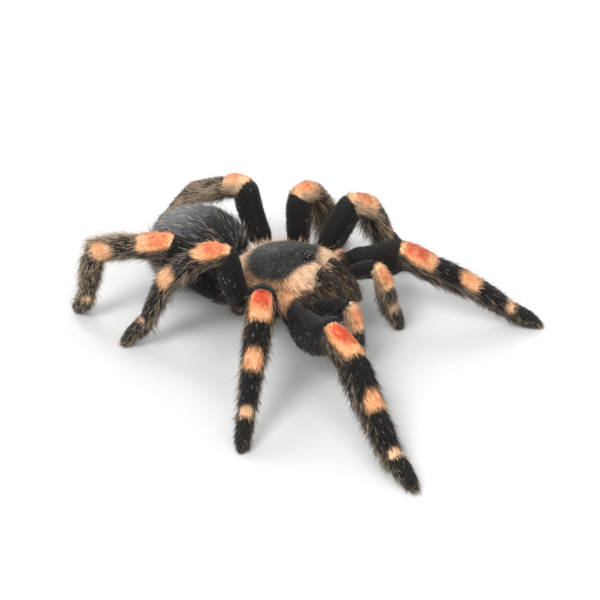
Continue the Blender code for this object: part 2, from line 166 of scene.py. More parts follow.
@dataclass
class Part:
    """One node of the body, with its own axes."""

    name: str
    kind: Kind
    mesh: bpy.types.Mesh
    pair: int = NO_PAIR
    origin: Vector = field(default_factory=Vector)
    along: Vector = field(default_factory=lambda: HEAD_WAY.copy())
    dorsal: Vector = field(default_factory=lambda: UP.copy())
    length: float = 1.0
    twist: float = 0.0  # how far the coat's upper side is turned from dorsal, positive towards across
    normal_digits: int = 2  # two faces of one flat patch agree to so many digits
    place_digits: int = 5

    def __post_init__(self) -> None:
        """Reads the node's points and makes the tree that rays and nearest points use."""
        count = len(self.mesh.vertices)
        points = np.zeros(count * 3, np.float32)
        self.mesh.vertices.foreach_get("co", points)
        self.points = points.reshape(-1, 3).astype(float)
        self.low, self.high = self.points.min(0), self.points.max(0)
        self.middle = Vector((self.low + self.high) / 2)
        faces = [tuple(face.vertices) for face in self.mesh.polygons]
        self.tree = BVHTree.FromPolygons([Vector(point) for point in self.points], faces)

    @property
    def across(self) -> Vector:
        """The direction square to the part's length and its upper side."""
        return self.dorsal.cross(self.along)

    @property
    def look(self) -> LimbLook:
        """The look of the limb that the part belongs to, plain for the body."""
        return LIMB_LOOKS.get(self.name.rsplit("_", 1)[0], PLAIN_LOOK)

    @property
    def has_long_hair(self) -> bool:
        """Whether it is a leg's middle segment or a palp's femur, where the long hair grows."""
        return self.kind in ((Kind.FEMUR,) if self.pair == PALP_PAIR else (Kind.TIBIA, Kind.METATARSUS))

    def set_axes(self, origin: Vector, along: Vector, dorsal: Vector, length: float) -> None:
        """Gives the part its axes, with dorsal turned square to along.

        Args:
            origin: Where the part starts.
            along: The direction of its length.
            dorsal: The direction of its upper side, roughly.
            length: How long it is.
        """
        self.origin = origin
        self.along = along.normalized()
        self.dorsal = (dorsal - dorsal.dot(self.along) * self.along).normalized()
        self.length = length

    def span(self, direction: Vector) -> tuple[float, float]:
        """The part's lowest and highest reach along a direction."""
        reach = self.points @ np.array(direction)
        return float(reach.min()), float(reach.max())

    def set_axes_through(self, along: Vector, dorsal: Vector) -> None:
        """Gives the part axes through its middle, as long as the part is along them.

        Args:
            along: The direction of its length.
            dorsal: The direction of its upper side, roughly.
        """
        along = along.normalized()
        low, high = self.span(along)
        start = self.middle + (low - self.middle.dot(along)) * along
        self.set_axes(start, along, dorsal, high - low)

    def flat_ends(self) -> list[tuple[float, Vector]]:
        """Finds the node's flat patches.

        Returns:
            Area and centre of each patch, the largest first.
        """
        patches = {}
        for face in self.mesh.polygons:
            normal = tuple(round(value, self.normal_digits) for value in face.normal)
            plane = (*normal, round(face.normal.dot(face.center), self.place_digits))
            area, moment = patches.get(plane, (0.0, Vector()))
            patches[plane] = (area + face.area, moment + face.area * face.center)
        ends = [(area, moment / area) for area, moment in patches.values()]
        return sorted(ends, key=lambda end: -end[0])

    def wall(self, point: Vector, direction: Vector) -> float:
        """How far the node's surface is from an inner point, in one direction."""
        hit = self.tree.ray_cast(point, direction)
        return hit[3] if hit[0] is not None else 0.0

    def share_and_turn(self, points: np.ndarray) -> tuple[np.ndarray, np.ndarray]:
        """Where points lie on the part.

        Args:
            points: Rows of places.

        Returns:
            Each point's share of the part's length, and its turn about the length from the coat's upper side,
            in radians, positive towards across.
        """
        offset = points - np.array(self.origin)
        share = offset @ np.array(self.along) / self.length
        turn = np.arctan2(offset @ np.array(self.across), offset @ np.array(self.dorsal)) - self.twist
        return share, (turn + math.pi) % (2 * math.pi) - math.pi


@dataclass
class Anatomy:
    """All parts of the spider, read from the frame's nodes."""

    nodes: dict[str, bpy.types.Object]
    jaw_slope: float = 35.0  # how far the jaws point below the way ahead, in degrees
    near: float = 2.5  # how far from a part's box the skin on it may lie, in millimetres
    square_on: float = 0.8  # a point inside a solid lies this squarely under the face nearest to it

    def __post_init__(self) -> None:
        """Reads the nodes and works out every part's axes."""
        self.parts = {}
        for name, node in self.nodes.items():
            kind = next(kind for kind in Kind if kind.value in name)
            pair = PALP_PAIR if name.startswith("palp") else NO_PAIR
            if name.startswith("leg"):
                pair = int(name[len("leg")])
            self.parts[name] = Part(name, kind, node.data, pair)
        self.flesh = [part for part in self.parts.values() if part.kind not in (Kind.EYES, Kind.FANG)]
        self.set_body_axes()
        for pair in (PALP_PAIR, *LEG_PAIRS):
            for side in SIDES:
                self.set_limb_axes(self.limb(pair, side))

    def limb(self, pair: int, side: str) -> list[Part]:
        """Finds the parts of one limb.

        Args:
            pair: The leg's pair, or PALP_PAIR.
            side: One of SIDES.

        Returns:
            The limb's parts, from the body out.
        """
        stem = f"palp_{side}" if pair == PALP_PAIR else f"leg{pair}_{side}"
        kinds = PALP_KINDS if pair == PALP_PAIR else LIMB_KINDS
        return [self.parts[f"{stem}_{kind.value}"] for kind in kinds]

    def set_body_axes(self) -> None:
        """Gives the body's parts axes that follow the flat underside of the carapace."""
        carapace = self.parts["carapace"]
        base = max(carapace.mesh.polygons, key=lambda face: face.area)
        self.up = base.normal if base.normal.z > 0 else -base.normal
        self.forward = (HEAD_WAY - HEAD_WAY.dot(self.up) * self.up).normalized()
        slope = math.radians(self.jaw_slope)
        jaw_way = self.forward * math.cos(slope) - self.up * math.sin(slope)
        backward = (self.parts["abdomen"].middle - carapace.middle).normalized()
        for part in self.parts.values():
            if part.kind in (Kind.CARAPACE, Kind.UNDERBODY, Kind.EYES):
                part.set_axes_through(self.forward, self.up)
            elif part.kind is Kind.JAW:
                part.set_axes_through(jaw_way, self.up)
            elif part.kind in (Kind.ABDOMEN, Kind.SPINNERET, Kind.FANG):
                part.set_axes_through(backward, UP)

    @staticmethod
    def joints(limb: list[Part]) -> list[Vector]:
        """Finds where a limb starts, bends and ends.

        Args:
            limb: The limb's parts, from the body out.

        Returns:
            The hip, each joint's middle and the foot's tip.
        """
        ends = [[centre for _, centre in part.flat_ends()[:2]] for part in limb]
        joints = []
        for near, far in zip(ends, ends[1:]):
            pairs = [((a - b).length, (a + b) / 2, a) for a in near for b in far]
            joints.append(min(pairs, key=lambda pair: pair[0]))
        hip = max(ends[0], key=lambda centre: (centre - joints[0][2]).length)
        points = [hip] + [joint[1] for joint in joints]
        tarsus = limb[-1]
        pointing = (Vector(tarsus.points.mean(0)) - points[-1]).normalized()
        reach = tarsus.span(pointing)[1] - points[-1].dot(pointing)
        return points + [points[-1] + pointing * reach]

    def set_limb_axes(self, limb: list[Part]) -> None:
        """Gives a limb's parts their axes, from joint to joint, with one plane for the whole limb.

        Args:
            limb: The limb's parts, from the body out.
        """
        points = self.joints(limb)
        rows = np.array(points)
        plane = Vector(np.linalg.svd(rows - rows.mean(0))[2][2])
        if plane.dot(UP.cross(points[-1] - points[0])) < 0:
            plane = -plane
        for part, start, end in zip(limb, points, points[1:]):
            way = (end - start).normalized()
            part.set_axes(start, way, way.cross(plane), (end - start).length)
            part.twist = math.radians(part.look.twists.get(part.kind, 0.0))

    def nearest(self, points: np.ndarray) -> np.ndarray:
        """Which flesh part each point belongs to.

        Args:
            points: Rows of places on or near the skin.

        Returns:
            For each point the index in flesh of the solid that it lies deepest in or nearest to.
        """
        best = np.full(len(points), np.inf)
        owner = np.zeros(len(points), int)
        margin = self.near * MM
        for index, part in enumerate(self.flesh):
            inside = np.all((points > part.low - margin) & (points < part.high + margin), axis=1)
            for row in np.nonzero(inside)[0]:
                point = Vector(points[row])
                spot, normal, _, distance = part.tree.find_nearest(point)
                drop = (point - spot).dot(normal)
                signed = drop if drop < -self.square_on * distance else distance
                if signed < best[row]:
                    best[row] = signed
                    owner[row] = index
        return owner


@dataclass
class Spots:
    """Points on one part's skin or coat, one row for each."""

    part: Part
    points: np.ndarray
    normals: np.ndarray
    share: np.ndarray  # how far along the part, as a share of its length
    turn: np.ndarray  # how far round from its upper side, in radians, positive towards across

    @classmethod
    def on(cls, part: Part, points: np.ndarray, normals: np.ndarray) -> "Spots":
        """Finds where points with known normals lie on a part."""
        return cls(part, points, normals, *part.share_and_turn(points))

    @property
    def aside(self) -> np.ndarray:
        """How far each point is round from the upper side, on either hand."""
        return np.abs(self.turn)

    @property
    def facing_up(self) -> np.ndarray:
        """How squarely the skin faces the part's upper side."""
        return self.normals @ np.array(self.part.dorsal)

    def from_middle(self, direction: Vector) -> np.ndarray:
        """How far each point lies from the part's middle, along a direction."""
        return (self.points - np.array(self.part.middle)) @ np.array(direction)

    def chosen(self, rows: np.ndarray) -> "Spots":
        """The rows for which the argument is true."""
        columns = (self.points, self.normals, self.share, self.turn)
        return Spots(self.part, *(values[rows] for values in columns))


@dataclass(frozen=True)
class KneeMarks:
    """The patella's marks: orange on top, deep red down its middle, a pale rim and darker sides."""

    reach: float = 0.5  # how far aside the orange reaches, in radians
    widening: float = 0.3  # how much further it reaches past the knee
    widens: Step = Step(0.0, 0.35)
    blur: float = 0.45
    red_start: Step = Step(-0.03, 0.01)
    red_end: Step = Step(0.5, 0.95)
    red_aside: Step = Step(0.38, 0.8)
    rim: Step = Step(-0.02, 0.02)
    rim_pale: float = 0.3
    far_end: Step = Step(0.5, 1.0)
    far_pale: float = 0.3
    dull_pale: float = 0.25  # how pale a knee without red is
    flank_aside: Step = Step(1.5, 2.2)
    flank: float = 0.02
    pale_flank: float = 0.45
    flank_orange: float = 0.7

    def paint(self, spots: Spots) -> Shares:
        """Works out the marks of points on the part.

        Args:
            spots: The points.

        Returns:
            Knee red, band orange and pale cream.
        """
        look, share = spots.part.look, spots.share
        shown = look.knee_start.up(share)
        edge = self.reach + self.widening * self.widens.up(share)
        top = shown * Step(edge, edge + self.blur).down(spots.aside)
        red = self.red_start.up(share) * self.red_end.down(share) * self.red_aside.down(spots.aside)
        pale = self.rim_pale * self.rim.down(share) + self.far_pale * self.far_end.up(share)
        pale = pale + self.dull_pale * (1 - look.knee_red)
        flank = (self.pale_flank if look.pale_flanks else self.flank) * self.flank_aside.down(spots.aside)
        flank = flank * (1 - top) * shown
        return red * look.knee_red * shown, top + self.flank_orange * flank, pale * top + flank


@dataclass(frozen=True)
class BandMarks:
    """A segment's marks: one band across its top that fades to buff on the sides."""

    start: float
    draw_back: float  # how much further out the band starts on the sides
    blur: float
    end: Step
    pale: float
    rear_start: float
    rear_pale: float
    end_shift: float = 1.0  # how much of a limb's band shift its far edge takes
    draws_back: Step = Step(0.3, 1.2)
    top_aside: Step = Step(0.85, 1.3)
    flank_aside: Step = Step(1.8, 2.4)
    flank: float = 0.04  # how much of the band's colour is left on the sides
    palp_band: Step = Step(0.55, 0.8)
    palp_strength: float = 0.5
    palp_pale: float = 1.0

    def paint(self, spots: Spots) -> Shares:
        """Works out the marks of points on the part.

        Args:
            spots: The points.

        Returns:
            Knee red, band orange and pale cream.
        """
        part, look = spots.part, spots.part.look
        is_rear = part.pair in REAR_PAIRS
        start = (self.rear_start if is_rear else self.start) + look.band_shift
        start = start + self.draw_back * self.draws_back.up(spots.aside)
        end = self.end.moved(self.end_shift * look.band_shift)
        span = Step(start, start + self.blur).up(spots.share) * end.down(spots.share) * look.band_share
        pale = self.rear_pale if is_rear else self.pale
        if part.pair == PALP_PAIR:
            span, pale = self.palp_strength * self.palp_band.up(spots.share), self.palp_pale
        top = self.top_aside.down(spots.aside)
        flank = self.flank * self.flank_aside.down(spots.aside) * (1 - top)
        return 0.0, span * (top + flank), span * (pale * top + flank)


@dataclass(frozen=True)
class ShieldMarks:
    """The carapace's marks: a peach border round a black patch. Places are shares of its half size."""

    half_width: float = 0.93  # of the patch
    narrowing: float = 0.78  # towards the eyes
    narrows: Step = Step(0.36, 0.9)
    centre: float = 0.04
    front: float = 0.89
    rear: float = 0.86
    border: Step = Step(0.84, 1.1)
    brow_ahead: Step = Step(0.92, 1.02)  # the dark corners over the jaws
    brow_beside: Step = Step(0.4, 0.6)
    brow_dark: float = 0.8
    pale: float = 0.3
    rear_pale: float = 0.6
    towards_rear: Step = Step(0.2, 0.7)
    front_pale: float = 0.38
    towards_front: Step = Step(0.2, 0.6)
    side_deep: float = 0.55
    towards_side: Step = Step(0.5, 0.95)

    def paint(self, spots: Spots) -> Shares:
        """Works out the marks of points on the part.

        Args:
            spots: The points.

        Returns:
            Knee red, band orange and pale cream.
        """
        part = spots.part
        low, high = part.span(part.across)
        ahead = spots.from_middle(part.along) / (part.length / 2)
        beside = np.abs(spots.from_middle(part.across)) / ((high - low) / 2)
        width = self.half_width * (1 - self.narrowing * self.narrows.up(ahead))
        length = np.where(ahead > self.centre, self.front, self.rear)
        band = self.border.up(np.hypot(beside / width, (ahead - self.centre) / length))
        band = band * (1 - self.brow_dark * self.brow_ahead.up(ahead) * self.brow_beside.up(beside))
        pale = self.pale + self.rear_pale * self.towards_rear.up(-ahead)
        pale = pale + self.front_pale * self.towards_front.up(ahead)
        pale = pale - self.side_deep * self.towards_side.up(beside)
        return 0.0, band, band * np.clip(pale, 0, 1)


@dataclass(frozen=True)
class AbdomenSheen:
    """The abdomen's painted sheen: a lighter, bluish top, painted where the skin faces up, behind a dark
    front.
    """

    # painted sheen: it shows where the skin faces up, and behind the abdomen's front
    top: Step = Step(0.2, 1.0)
    front: Step = Step(0.15, 0.6)

    def paint(self, spots: Spots) -> Shares:
        """Knee red, band and pale of points on the part; here the band is the painted sheen on the abdomen's
        top.
        """
        return 0.0, self.top.up(spots.facing_up) * self.front.up(spots.share), 0.0


@dataclass(frozen=True)
class HipMarks:
    """The underbody's marks: orange front hips, dark brown elsewhere. Places are in millimetres."""

    start: Step = Step(3.5, 6.0)
    end: Step = Step(9.0, 11.0)
    rest: float = 0.03
    strength: float = 0.87
    top: Step = Step(0.0, 0.5)
    pale: float = 0.4

    def paint(self, spots: Spots) -> Shares:
        """Works out the marks of points on the part.

        Args:
            spots: The points.

        Returns:
            Knee red, band orange and pale cream.
        """
        ahead = spots.from_middle(spots.part.along) / MM
        front = self.start.up(ahead) * self.end.down(ahead)
        band = (self.rest + self.strength * front) * self.top.up(spots.facing_up)
        return 0.0, band, self.pale * band


@dataclass(frozen=True)
class JawMarks:
    """A jaw's marks: a peach start below the eyes, then dark brown."""

    strength: float = 0.7
    end: Step = Step(0.0, 0.08)
    sides: Step = Step(1.0, 1.8)
    pale: float = 0.5

    def paint(self, spots: Spots) -> Shares:
        """Knee red, band orange and pale cream of points on the part."""
        band = self.strength * self.end.down(spots.share) * self.sides.down(spots.aside)
        return 0.0, band, self.pale * band


MARKINGS = {
    Kind.PATELLA: KneeMarks(),
    Kind.TIBIA: BandMarks(start=0.47, draw_back=0.14, blur=0.16, end=Step(0.96, 1.0), pale=0.25,
                          rear_start=0.47, rear_pale=0.4, end_shift=0.0),
    Kind.METATARSUS: BandMarks(start=0.68, draw_back=0.06, blur=0.1, end=Step(0.92, 0.96), pale=0.7,
                               rear_start=0.82, rear_pale=0.7),
    Kind.CARAPACE: ShieldMarks(),
    # the abdomen's entry paints its sheen on top, not a marking
    Kind.ABDOMEN: AbdomenSheen(),
    Kind.UNDERBODY: HipMarks(),
    Kind.JAW: JawMarks(),
}


def marks_of(spots: Spots) -> np.ndarray:
    """The markings of points on one part.

    Args:
        spots: The points.

    Returns:
        Rows of knee red, band orange and pale cream, each from 0 to 1.
    """
    marks = np.zeros((len(spots.points), 3))
    if spots.part.kind in MARKINGS:
        marks[:, 0], marks[:, 1], marks[:, 2] = MARKINGS[spots.part.kind].paint(spots)
    return marks


@dataclass(frozen=True)
class Ring:
    """An oval ring of a lofted form, square to the form's own Z axis, in metres."""

    z: float
    half_x: float
    half_y: float
    y: float = 0.0


def add_ring(form: bmesh.types.BMesh, sides: int, radius: float) -> tuple[list, list]:
    """Adds a round ring to a form.

    Args:
        form: The form.
        sides: Points on the ring.
        radius: The ring's radius.

    Returns:
        The ring's points and its edges.
    """
    verts = bmesh.ops.create_circle(form, segments=sides, radius=radius)["verts"]
    members = set(verts)
    return verts, [edge for edge in form.edges if edge.verts[0] in members and edge.verts[1] in members]


def close_rings(form: bmesh.types.BMesh, loops: list[list]) -> bmesh.types.BMesh:
    """Bridges a form's rings in order and closes both its ends.

    Args:
        form: The form.
        loops: The edges of each ring.

    Returns:
        The same form, with its faces outwards.
    """
    for lower, upper in zip(loops, loops[1:]):
        bmesh.ops.bridge_loops(form, edges=lower + upper)
    for end in (loops[0], loops[-1]):
        bmesh.ops.edgeloop_fill(form, edges=end)
    bmesh.ops.recalc_face_normals(form, faces=form.faces)
    return form


def loft(rings: list[Ring], sides: int) -> bmesh.types.BMesh:
    """A closed form through oval rings.

    Args:
        rings: The rings in order along Z.
        sides: Points on each ring.

    Returns:
        The form, with a flat face at each end.
    """
    form = bmesh.new()
    loops = []
    for ring in rings:
        verts, edges = add_ring(form, sides, 1.0)
        loops.append(edges)
        for vert in verts:
            vert.co = Vector((vert.co.x * ring.half_x, ring.y + vert.co.y * ring.half_y, ring.z))
    return close_rings(form, loops)


def swept(points: list[Vector], radii: list[float], sides: int) -> bmesh.types.BMesh:
    """A round closed form along a path.

    Args:
        points: The path.
        radii: The form's radius at each point.
        sides: Points on each ring.

    Returns:
        The form, closed at both ends.
    """
    form = bmesh.new()
    loops = []
    for index, (point, radius) in enumerate(zip(points, radii)):
        before, after = points[max(index - 1, 0)], points[min(index + 1, len(points) - 1)]
        verts, edges = add_ring(form, sides, radius)
        loops.append(edges)
        bmesh.ops.transform(form, matrix=place_of(point, after - before, UP + HEAD_WAY), verts=verts)
    return close_rings(form, loops)


CAP_ANGLES = tuple(math.radians(angle) for angle in (28, 52, 72))


def rounded(rings: list[Ring]) -> list[Ring]:
    """Rounds the ends of a form.

    Args:
        rings: The form's rings.

    Returns:
        The same rings, with those of a round cap before and after them.
    """
    first, last = rings[0], rings[-1]
    start, end = [], []
    for angle in CAP_ANGLES:
        out, girth = math.sin(angle), math.cos(angle)
        cap = Ring(first.z - first.half_x * out, first.half_x * girth, first.half_y * girth, first.y)
        start.insert(0, cap)
        end.append(Ring(last.z + last.half_x * out, last.half_x * girth, last.half_y * girth, last.y))
    return start + rings + end


def place_of(origin: Vector, along: Vector, dorsal: Vector) -> Matrix:
    """The place of a form that is built along Z with its upper side to Y.

    Args:
        origin: Where the form's origin goes.
        along: Where its Z axis points.
        dorsal: Where its Y axis points, roughly.

    Returns:
        The matrix that puts it there.
    """
    along = along.normalized()
    across = dorsal.cross(along).normalized()
    turn = Matrix((across, along.cross(across), along)).transposed()
    return Matrix.Translation(origin) @ turn.to_4x4()


def new_object(name: str, form: bmesh.types.BMesh) -> bpy.types.Object:
    """Makes an object of a form and frees the form.

    Args:
        name: The object's name.
        form: The form.

    Returns:
        The object, linked to the scene.
    """
    mesh = bpy.data.meshes.new(name)
    form.to_mesh(mesh)
    form.free()
    mesh.shade_smooth()
    item = bpy.data.objects.new(name, mesh)
    bpy.context.scene.collection.objects.link(item)
    return item


def joined(forms: list[bmesh.types.BMesh]) -> bmesh.types.BMesh:
    """Joins forms and frees them.

    Args:
        forms: The forms.

    Returns:
        All of them as one form.
    """
    whole = bmesh.new()
    for form in forms:
        piece = bpy.data.meshes.new("form")
        form.to_mesh(piece)
        form.free()
        whole.from_mesh(piece)
        bpy.data.meshes.remove(piece)
    return whole


def settle(item: bpy.types.Object) -> None:
    """Applies an object's modifiers to its mesh.

    Args:
        item: The object.
    """
    graph = bpy.context.evaluated_depsgraph_get()
    mesh = bpy.data.meshes.new_from_object(item.evaluated_get(graph))
    old = item.data
    item.modifiers.clear()
    item.data = mesh
    bpy.data.meshes.remove(old)
    mesh.name = item.name


@dataclass
class Skin:
    """The one skin of the whole animal, inside the solids by the coat's depth. Sizes are in millimetres."""

    anatomy: Anatomy
    depths: dict[Kind, float] = field(default_factory=lambda: {
        Kind.FEMUR: 0.3, Kind.PATELLA: 0.4, Kind.TIBIA: 0.6, Kind.METATARSUS: 0.6, Kind.TARSUS: 0.35,
        Kind.CARAPACE: 0.5, Kind.ABDOMEN: 1.0, Kind.JAW: 0.3, Kind.UNDERBODY: 0.4, Kind.SPINNERET: 0.3,
        Kind.EYES: 0.3})
    rear_extra: dict[Kind, float] = field(default_factory=lambda: {Kind.TIBIA: 0.3, Kind.METATARSUS: 0.4})
    least_radius: float = 0.8
    sides: int = 24
    shares: tuple[float, ...] = (0.05, 0.2, 0.35, 0.5, 0.65, 0.8, 0.95)  # where a limb segment's rings lie
    weld: float = 0.01
    filler_drop: float = 1.6  # of the flesh that fills the gaps under the carapace
    filler_depth: float = 1.1
    core_drop: float = 3.2  # where the rods inside the body meet, below the carapace's middle
    rod_tilt: float = 0.1  # turns the rods' upper side away from their length
    pedicel_radius: float = 1.5
    jaw_root_radius: float = 2.3
    spinneret_root: float = 7.0
    spinneret_radius: float = 0.6
    voxel: float = 0.47
    smoothing: int = 4
    floor_gap: float = 0.1

    def depth(self, part: Part) -> float:
        """How deep the skin lies under a part's surface, in metres."""
        extra = self.rear_extra.get(part.kind, 0.0) if part.pair in REAR_PAIRS else 0.0
        return (self.depths[part.kind] + extra) * MM

    def limb_form(self, part: Part) -> bmesh.types.BMesh:
        """Makes a limb segment's flesh from rings read off the solid's walls, drawn in by the coat's depth.

        Args:
            part: The segment.

        Returns:
            The flesh, in its place.
        """
        across, dorsal = part.across, part.dorsal
        middle = part.origin + part.along * part.length / 2
        rise, drop = part.wall(middle, dorsal), part.wall(middle, -dorsal)
        belly = (part.wall(middle, across) + part.wall(middle, -across)) / 2
        taller = (rise + drop) / 2 / belly
        rings = []
        for share in self.shares:
            point = part.origin + part.along * part.length * share
            width = (part.wall(point, across) + part.wall(point, -across)) / 2
            radius = max(width - self.depth(part), self.least_radius * MM)
            sag = (rise - drop) / 2 * 4 * share * (1 - share)  # a parabola, highest at the middle
            rings.append(Ring(part.length * share, radius, radius * taller, sag))
        form = loft(rounded(rings), self.sides)
        form.transform(place_of(part.origin, part.along, dorsal))
        return form

    def shrunken(self, part: Part, depth: float) -> bmesh.types.BMesh:
        """Copies a node and draws it in along its normals.

        Args:
            part: The node's part.
            depth: How far, in metres.

        Returns:
            The copy.
        """
        form = bmesh.new()
        form.from_mesh(part.mesh)
        bmesh.ops.remove_doubles(form, verts=form.verts, dist=self.weld * MM)
        form.normal_update()
        for vert in form.verts:
            vert.co -= vert.normal * depth
        return form

    def rod(self, start: Vector, end: Vector, radius: float) -> bmesh.types.BMesh:
        """Makes a round-ended rod that joins two forms under the skin.

        Args:
            start: Where it starts.
            end: Where it ends.
            radius: Its radius, in millimetres.

        Returns:
            The rod, in its place.
        """
        girth = radius * MM
        form = loft(rounded([Ring(0, girth, girth), Ring((end - start).length, girth, girth)]), self.sides)
        form.transform(place_of(start, end - start, self.anatomy.up + HEAD_WAY * self.rod_tilt))
        return form

    def joining_forms(self) -> list[bmesh.types.BMesh]:
        """Makes what joins the body's solids across the thin gaps between them.

        Returns:
            The joining forms.
        """
        parts, up = self.anatomy.parts, self.anatomy.up
        carapace, abdomen = parts["carapace"], parts["abdomen"]
        core = carapace.middle - up * self.core_drop * MM
        filler = self.shrunken(carapace, self.filler_depth * MM)
        bmesh.ops.translate(filler, vec=-up * self.filler_drop * MM, verts=filler.verts)
        forms = [filler, self.rod(core, abdomen.middle, self.pedicel_radius)]
        for side in SIDES:
            forms.append(self.rod(core, parts[f"chelicera_{side}"].middle, self.jaw_root_radius))
            tail = parts[f"spinneret_{side}"]
            inward = (abdomen.middle - tail.middle).normalized() * self.spinneret_root * MM
            forms.append(self.rod(tail.middle, tail.middle + inward, self.spinneret_radius))
        return forms

    def build(self) -> bpy.types.Object:
        """Joins all the flesh into one closed skin, smooths it and keeps it off the floor.

        Returns:
            The skin object.
        """
        forms = self.joining_forms()
        for part in self.anatomy.parts.values():
            if part.kind in LIMB_KINDS:
                forms.append(self.limb_form(part))
            elif part.kind is not Kind.FANG:
                forms.append(self.shrunken(part, self.depth(part)))
        skin = new_object("skin", joined(forms))
        remesh = skin.modifiers.new("one_skin", "REMESH")
        remesh.mode = "VOXEL"
        remesh.voxel_size = self.voxel * MM
        smooth = skin.modifiers.new("soften", "SMOOTH")
        smooth.iterations = self.smoothing
        settle(skin)
        for vert in skin.data.vertices:
            vert.co.z = max(vert.co.z, self.floor_gap * MM)
        skin.data.shade_smooth()
        return skin


def write_vectors(mesh: bpy.types.Mesh, name: str, rows: np.ndarray) -> None:
    """Writes one vector for each point of a mesh as a named attribute."""
    layer = mesh.attributes.new(name, "FLOAT_VECTOR", "POINT")
    layer.data.foreach_set("vector", rows.astype(np.float32).ravel())


@dataclass
class SkinMap:
    """The finished skin as arrays, with the part that each of its points belongs to."""

    skin: bpy.types.Object
    anatomy: Anatomy

    def __post_init__(self) -> None:
        """Reads the skin's mesh and finds each point's part."""
        mesh = self.skin.data
        mesh.calc_loop_triangles()
        self.points = self.read(mesh.vertices, "co", np.float32).astype(float)
        self.normals = self.read(mesh.vertices, "normal", np.float32).astype(float)
        self.triangles = self.read(mesh.loop_triangles, "vertices", np.int32).astype(int)
        self.owner = self.anatomy.nearest(self.points)
        corners = self.points[self.triangles]
        crossed = np.cross(corners[:, 1] - corners[:, 0], corners[:, 2] - corners[:, 0])
        self.areas = np.linalg.norm(crossed, axis=1) / 2
        self.triangle_owner = self.owner[self.triangles[:, 0]]

    @staticmethod
    def read(items: bpy.types.bpy_prop_collection, name: str, kind: type) -> np.ndarray:
        """Reads a property of three values of a mesh's items.

        Args:
            items: The items.
            name: The property.
            kind: The type of its values.

        Returns:
            One row of three for each item.
        """
        values = np.zeros(len(items) * 3, kind)
        items.foreach_get(name, values)
        return values.reshape(-1, 3)

    def write_markings(self, random: np.random.Generator) -> None:
        """Writes the markings and a plain strand on the skin itself.

        Args:
            random: The source of chance.
        """
        marks = np.zeros_like(self.points)
        for index, part in enumerate(self.anatomy.flesh):
            if part.kind is Kind.ABDOMEN:
                continue  # its pale hair grows from dark skin
            rows = self.owner == index
            marks[rows] = marks_of(Spots.on(part, self.points[rows], self.normals[rows]))
        strand = np.zeros_like(self.points)
        strand[:, 1] = random.random(len(self.points))
        write_vectors(self.skin.data, MARKS_AND_SHEEN, marks)
        write_vectors(self.skin.data, STRAND, strand)

    def scatter(self, index: int, density: float, random: np.random.Generator) -> Spots:
        """Even random places on one part's skin.

        Args:
            index: The part's place in the anatomy's flesh.
            density: Places on each square millimetre.
            random: The source of chance.

        Returns:
            The places.
        """
        part = self.anatomy.flesh[index]
        faces = np.nonzero(self.triangle_owner == index)[0]
        reach = np.cumsum(self.areas[faces])
        count = int(reach[-1] / MM**2 * density) if len(faces) else 0
        if not count:
            return Spots.on(part, np.zeros((0, 3)), np.zeros((0, 3)))
        chosen = self.triangles[faces[np.searchsorted(reach, random.random(count) * reach[-1])]]
        first, second = np.sqrt(random.random(count)), random.random(count)
        shares = np.stack([1 - first, first * (1 - second), first * second], axis=1)[:, :, None]
        places = (self.points[chosen] * shares).sum(1)
        return Spots.on(part, places, unit((self.normals[chosen] * shares).sum(1)))


@dataclass(frozen=True)
class HairKind:
    """How one sort of hair grows on one kind of part. Lengths are in millimetres, angles in degrees."""

    density: float  # on each square millimetre
    length: float
    root_radius: float
    lift: float  # away from the skin
    guard: float = 0.0  # share of the hairs that are pale-tipped guard hairs
    top: float = 1.0  # share of the density that grows on the upper side
    fringe: float = 0.0  # share of the density at the upper side's far end
    bend: float = 0.0  # how far the tip lies back down
    ragged: float = 0.25  # spread of the lengths
    lean: float = 1.0  # how strongly the hairs of a lock lean together
    stray: float = 9.0  # spread sideways


UNDERCOAT = {
    Kind.FEMUR: HairKind(13, 0.8, 0.075, 14),
    Kind.PATELLA: HairKind(14, 1.2, 0.07, 16),
    Kind.TIBIA: HairKind(13, 1.4, 0.07, 20),
    Kind.METATARSUS: HairKind(13, 1.3, 0.07, 20),
    Kind.TARSUS: HairKind(15, 0.9, 0.065, 16),
    Kind.CARAPACE: HairKind(16, 1.3, 0.065, 22),
    Kind.ABDOMEN: HairKind(12, 1.4, 0.07, 24),
    Kind.JAW: HairKind(18, 1.5, 0.06, 16, guard=0.25, stray=5),
    Kind.UNDERBODY: HairKind(8, 1.2, 0.08, 22),
    Kind.SPINNERET: HairKind(10, 0.8, 0.07, 20),
}
OVERCOAT = {
    Kind.FEMUR: HairKind(4.0, 1.7, 0.045, 30, guard=0.05, top=0.0, fringe=1.0, bend=0.3),
    Kind.PATELLA: HairKind(8.0, 2.7, 0.045, 28, guard=0.22, top=0.6, bend=0.3),
    Kind.TIBIA: HairKind(9.0, 2.9, 0.045, 30, guard=0.27, top=0.45, bend=0.15),
    Kind.METATARSUS: HairKind(9.0, 2.6, 0.045, 30, guard=0.27, top=0.45, bend=0.15),
    Kind.TARSUS: HairKind(10.0, 1.7, 0.045, 30, guard=0.35, top=0.6, bend=0.15),
    Kind.CARAPACE: HairKind(12.0, 2.3, 0.05, 20, guard=0.25, bend=0.4),
    Kind.ABDOMEN: HairKind(6.5, 5.0, 0.05, 28, guard=0.26, top=0.45, bend=0.4, lean=0.3, stray=6),
    Kind.JAW: HairKind(18.0, 2.8, 0.045, 16, guard=0.35, bend=0.5, lean=0.3, stray=5),
    Kind.UNDERBODY: HairKind(4.5, 2.4, 0.05, 30, guard=0.2, bend=0.4),
    Kind.SPINNERET: HairKind(4.0, 1.4, 0.06, 25, guard=0.4, bend=0.3),
}


